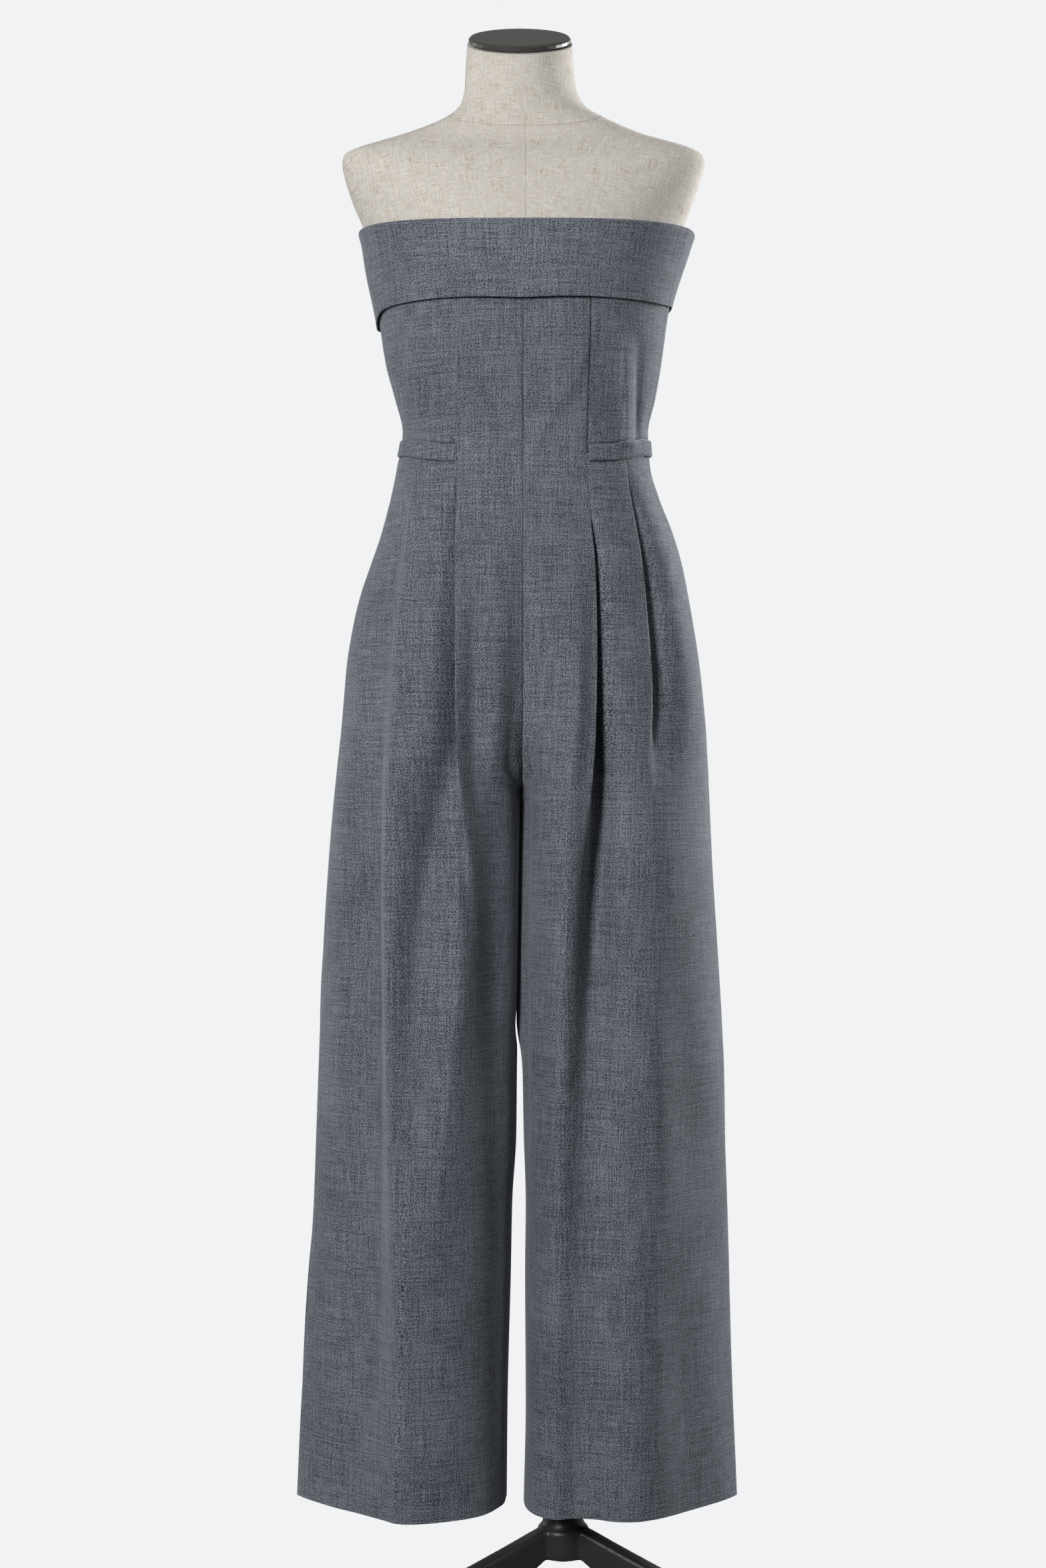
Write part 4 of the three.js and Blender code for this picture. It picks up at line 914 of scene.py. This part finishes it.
def form():
    """The torso and its collar, closed below and above, with the weave of each half and the collar."""
    levels = stretches([915, 935, 1440, 1515, 1610, NECK_TOP], [9, 39, 23, 69, 15])
    sides = 160
    angle = np.linspace(0, 2 * math.pi, sides, endpoint=False)
    points = form_point(angle[None, :], levels[:, None]).reshape(-1, 3)
    count = len(levels)
    lid = points.reshape(count, sides, 3)[[0, -1]].mean(axis=1)
    points = np.concatenate([points, lid])
    faces = ring_faces(count, sides)
    top = (count - 1) * sides
    for j in range(sides):
        after = (j + 1) % sides
        faces.append((after, j, count * sides))
        faces.append((top + j, top + after, count * sides + 1))
    x, y, z = points.T
    lean = np.where(z < LEAN_TOP, GRAIN_LEAN, 0.0) * np.sign(x + 1e-9) * (y < 0)
    weave = np.where(x < 0, 0.5, 0.0) + np.where(z > COLLAR, 3.0, 0.0)
    u = x * MM * np.cos(lean) - z * MM * np.sin(lean) + weave
    v = x * MM * np.sin(lean) + z * MM * np.cos(lean)
    made = new_object("form", to_frame(*points.T), faces, LINEN, np.stack([u, v], -1))
    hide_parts("form_torso")


def seam_line(name, angles, levels):
    """A fine seam on the form: a ribbon that lies in its surface."""
    points = form_point(angles, levels)
    across = form_point(angles + 1e-3, levels) - points
    up = form_point(angles, levels + 0.2) - points
    normal = unit(np.cross(across, up))
    along = unit(np.gradient(points, axis=0))
    beside = np.cross(along, normal) * SEAM_HALF_WIDTH
    outward = normal * SEAM_OUT
    ribbon = np.stack([points + beside + outward, points - beside + outward], 1).reshape(-1, 3)
    faces = [(2 * i, 2 * i + 1, 2 * i + 3, 2 * i + 2) for i in range(len(points) - 1)]
    new_object(name, to_frame(*ribbon.T), faces, THREAD)


def form_seams():
    z = np.linspace(1446, 1557, 120)
    seam_line("form_seam_front", 0.012 + 0 * z, z)
    angle = np.linspace(-1.35, 1.3, 160)
    seam_line("form_seam_neck", angle, NECK_SEAM + 22 * np.sin(angle) ** 2)


def casting():
    """The base in one piece: its edges are rounded, and its legs meet in an arch under the socket."""
    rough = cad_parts["base"].copy()
    rough.data = rough.data.copy()
    bpy.context.scene.collection.objects.link(rough)
    even = rough.modifiers.new("even", "REMESH")
    even.mode = "VOXEL"
    even.voxel_size = VOXEL
    soften = rough.modifiers.new("soften", "SMOOTH")
    soften.factor = 0.5
    soften.iterations = 10
    bpy.context.view_layer.update()
    mesh = bpy.data.meshes.new_from_object(rough.evaluated_get(bpy.context.evaluated_depsgraph_get()))
    mesh.transform(rough.matrix_world.copy())
    mesh.name = "cast_base"
    bpy.data.objects.remove(rough)
    for vertex in mesh.vertices:
        x, y, z = vertex.co
        under = min(1.0, max(0.0, (ARCH_TOP - z) / ARCH_FADE))
        from_pole = (x - POLE_X) ** 2 + (y - MIDDLE_Y) ** 2
        vertex.co.z += ARCH_RISE * under * math.exp(-from_pole / ARCH_REACH ** 2)
    shade(mesh, IRON)
    piece = link("cast_base", mesh)
    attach(piece, "root")
    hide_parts("base")


for side in ("left", "right"):
    front_panels(side)
    back_panel(side)
welt("left", 1.0)
welt("right", 2.4)
cuff("cloth_cuff_front", "cuff_front", -CUFF_SEAM_ANGLE + 0.1, CUFF_SEAM_ANGLE - 0.1, 300)
cuff("cloth_cuff_back", "cuff_back", CUFF_SEAM_ANGLE + 0.1, 360 - CUFF_SEAM_ANGLE - 0.1, 300)
form()
form_seams()
casting()
for node, material in (("neck_cap", CAP), ("pole", IRON)):
    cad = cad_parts[node]
    cad.data.materials.clear()
    cad.data.materials.append(material)


# ---------------- camera, light and floor

EYE_DISTANCE = 2.5
EYE_HEIGHT = 0.876
LENS = 54.7
FLOOR_RADIUS = 4.0
BEND_RADIUS = 2.5  # of the floor's rim
WALL_TOP = 4.5


def camera():
    data = bpy.data.cameras.new("camera")
    data.sensor_width = 36
    data.lens = LENS
    data.clip_end = 60
    eye = link("camera", data)
    eye.location = (MIDDLE_X, MIDDLE_Y - EYE_DISTANCE, EYE_HEIGHT)
    eye.rotation_euler = (math.pi / 2, 0, 0)
    bpy.context.scene.camera = eye


def studio_material():
    """A pale backdrop that is lit evenly by itself and only a little by the lamps."""
    material, tree, shader = node_material("studio")
    set_inputs(shader, Base_Color=(0.0, 0.0, 0.0, 1), Roughness=1.0, Specular_IOR_Level=0.0,
               Emission_Color=(0.975, 0.985, 1.0, 1), Emission_Strength=0.9)
    return material


def backdrop():
    """A round pale floor whose rim curves up, so that no horizon shows from any side."""
    profile = [(0.0, 0.0), (FLOOR_RADIUS, 0.0)]
    for t in np.linspace(0.1, math.pi / 2, 14):
        profile.append((FLOOR_RADIUS + BEND_RADIUS * math.sin(t), BEND_RADIUS - BEND_RADIUS * math.cos(t)))
    profile.append((FLOOR_RADIUS + BEND_RADIUS, WALL_TOP))
    turns = 96
    points = [(r * math.sin(t), r * math.cos(t), z) for r, z in profile
              for t in np.linspace(0, 2 * math.pi, turns, endpoint=False)]
    mesh = bpy.data.meshes.new("studio_floor")
    mesh.from_pydata(points, [], ring_faces(len(profile), turns))
    shade(mesh, studio_material())
    floor = link("studio_floor", mesh)
    floor.visible_diffuse = False
    floor.visible_glossy = False


def area_light(name, place, size, power):
    data = bpy.data.lights.new(name, "AREA")
    data.shape = "RECTANGLE"
    data.size, data.size_y = size
    data.energy = power
    lamp = link(name, data)
    lamp.location = place
    lamp.visible_camera = False
    lamp.rotation_euler = (Vector(LAMP_TARGET) - Vector(place)).to_track_quat("-Z", "Y").to_euler()


# The brightness of the surroundings near the horizon, by degrees to the right of the camera's side.
SURROUNDINGS = [(-180, 0.35), (-100, 0.45), (-75, 0.06), (75, 0.06), (100, 0.45), (180, 0.35)]
OVERHEAD = 0.3
FLOOR_BOUNCE = 0.1
# The lamps: degrees to the right of the camera's side, distance, height, size and power.
LAMPS = {
    "key": (-25, 3.2, 1.8, (0.7, 0.9), 84),
    "fill": (40, 1.6, 2.2, (0.8, 0.6), 1),
    "rim_left": (-120, 2.6, 1.1, (0.7, 1.8), 18),
    "rim_right": (119, 2.6, 1.7, (0.7, 1.0), 98),
}
LAMP_TARGET = (0, 0, 0.95)


def grey(value):
    return (value, value, value * 1.01)


def lights():
    """Pale surroundings, a key and a faint fill in front, and a rim lamp at each side."""
    world = bpy.data.worlds.new("studio")
    world.use_nodes = True
    tree = world.node_tree
    background = tree.nodes["Background"]
    direction = add(tree, "ShaderNodeSeparateXYZ")
    tree.links.new(add(tree, "ShaderNodeTexCoord").outputs["Generated"], direction.inputs["Vector"])
    ahead = maths(tree, "MULTIPLY", direction.outputs["Y"], -1.0)
    azimuth = maths(tree, "ARCTAN2", direction.outputs["X"], ahead)
    color = ramp(tree, maths(tree, "MULTIPLY_ADD", azimuth, 0.5 / math.pi, 0.5),
                 [((degrees + 180) / 360, grey(value / 2)) for degrees, value in SURROUNDINGS])
    for value, stops in (
        (OVERHEAD, [(0.75, (0, 0, 0)), (0.9, (1, 1, 1))]),
        (FLOOR_BOUNCE, [(0.36, (1, 1, 1)), (0.46, (0, 0, 0))]),
    ):
        height = maths(tree, "MULTIPLY_ADD", direction.outputs["Z"], 0.5, 0.5)
        mix = add(tree, "ShaderNodeMix", data_type="RGBA")
        tree.links.new(ramp(tree, height, stops), mix.inputs[0])
        tree.links.new(color, mix.inputs[6])
        mix.inputs[7].default_value = (*grey(value / 2), 1)
        color = mix.outputs[2]
    tree.links.new(color, background.inputs["Color"])
    background.inputs["Strength"].default_value = 2.0
    bpy.context.scene.world = world
    for name, (degrees, distance, height, size, power) in LAMPS.items():
        turn = math.radians(degrees)
        place = (distance * math.sin(turn), -distance * math.cos(turn), height)
        area_light(name, place, size, power)


camera()
backdrop()
lights()
bpy.context.scene.view_settings.view_transform = "Standard"
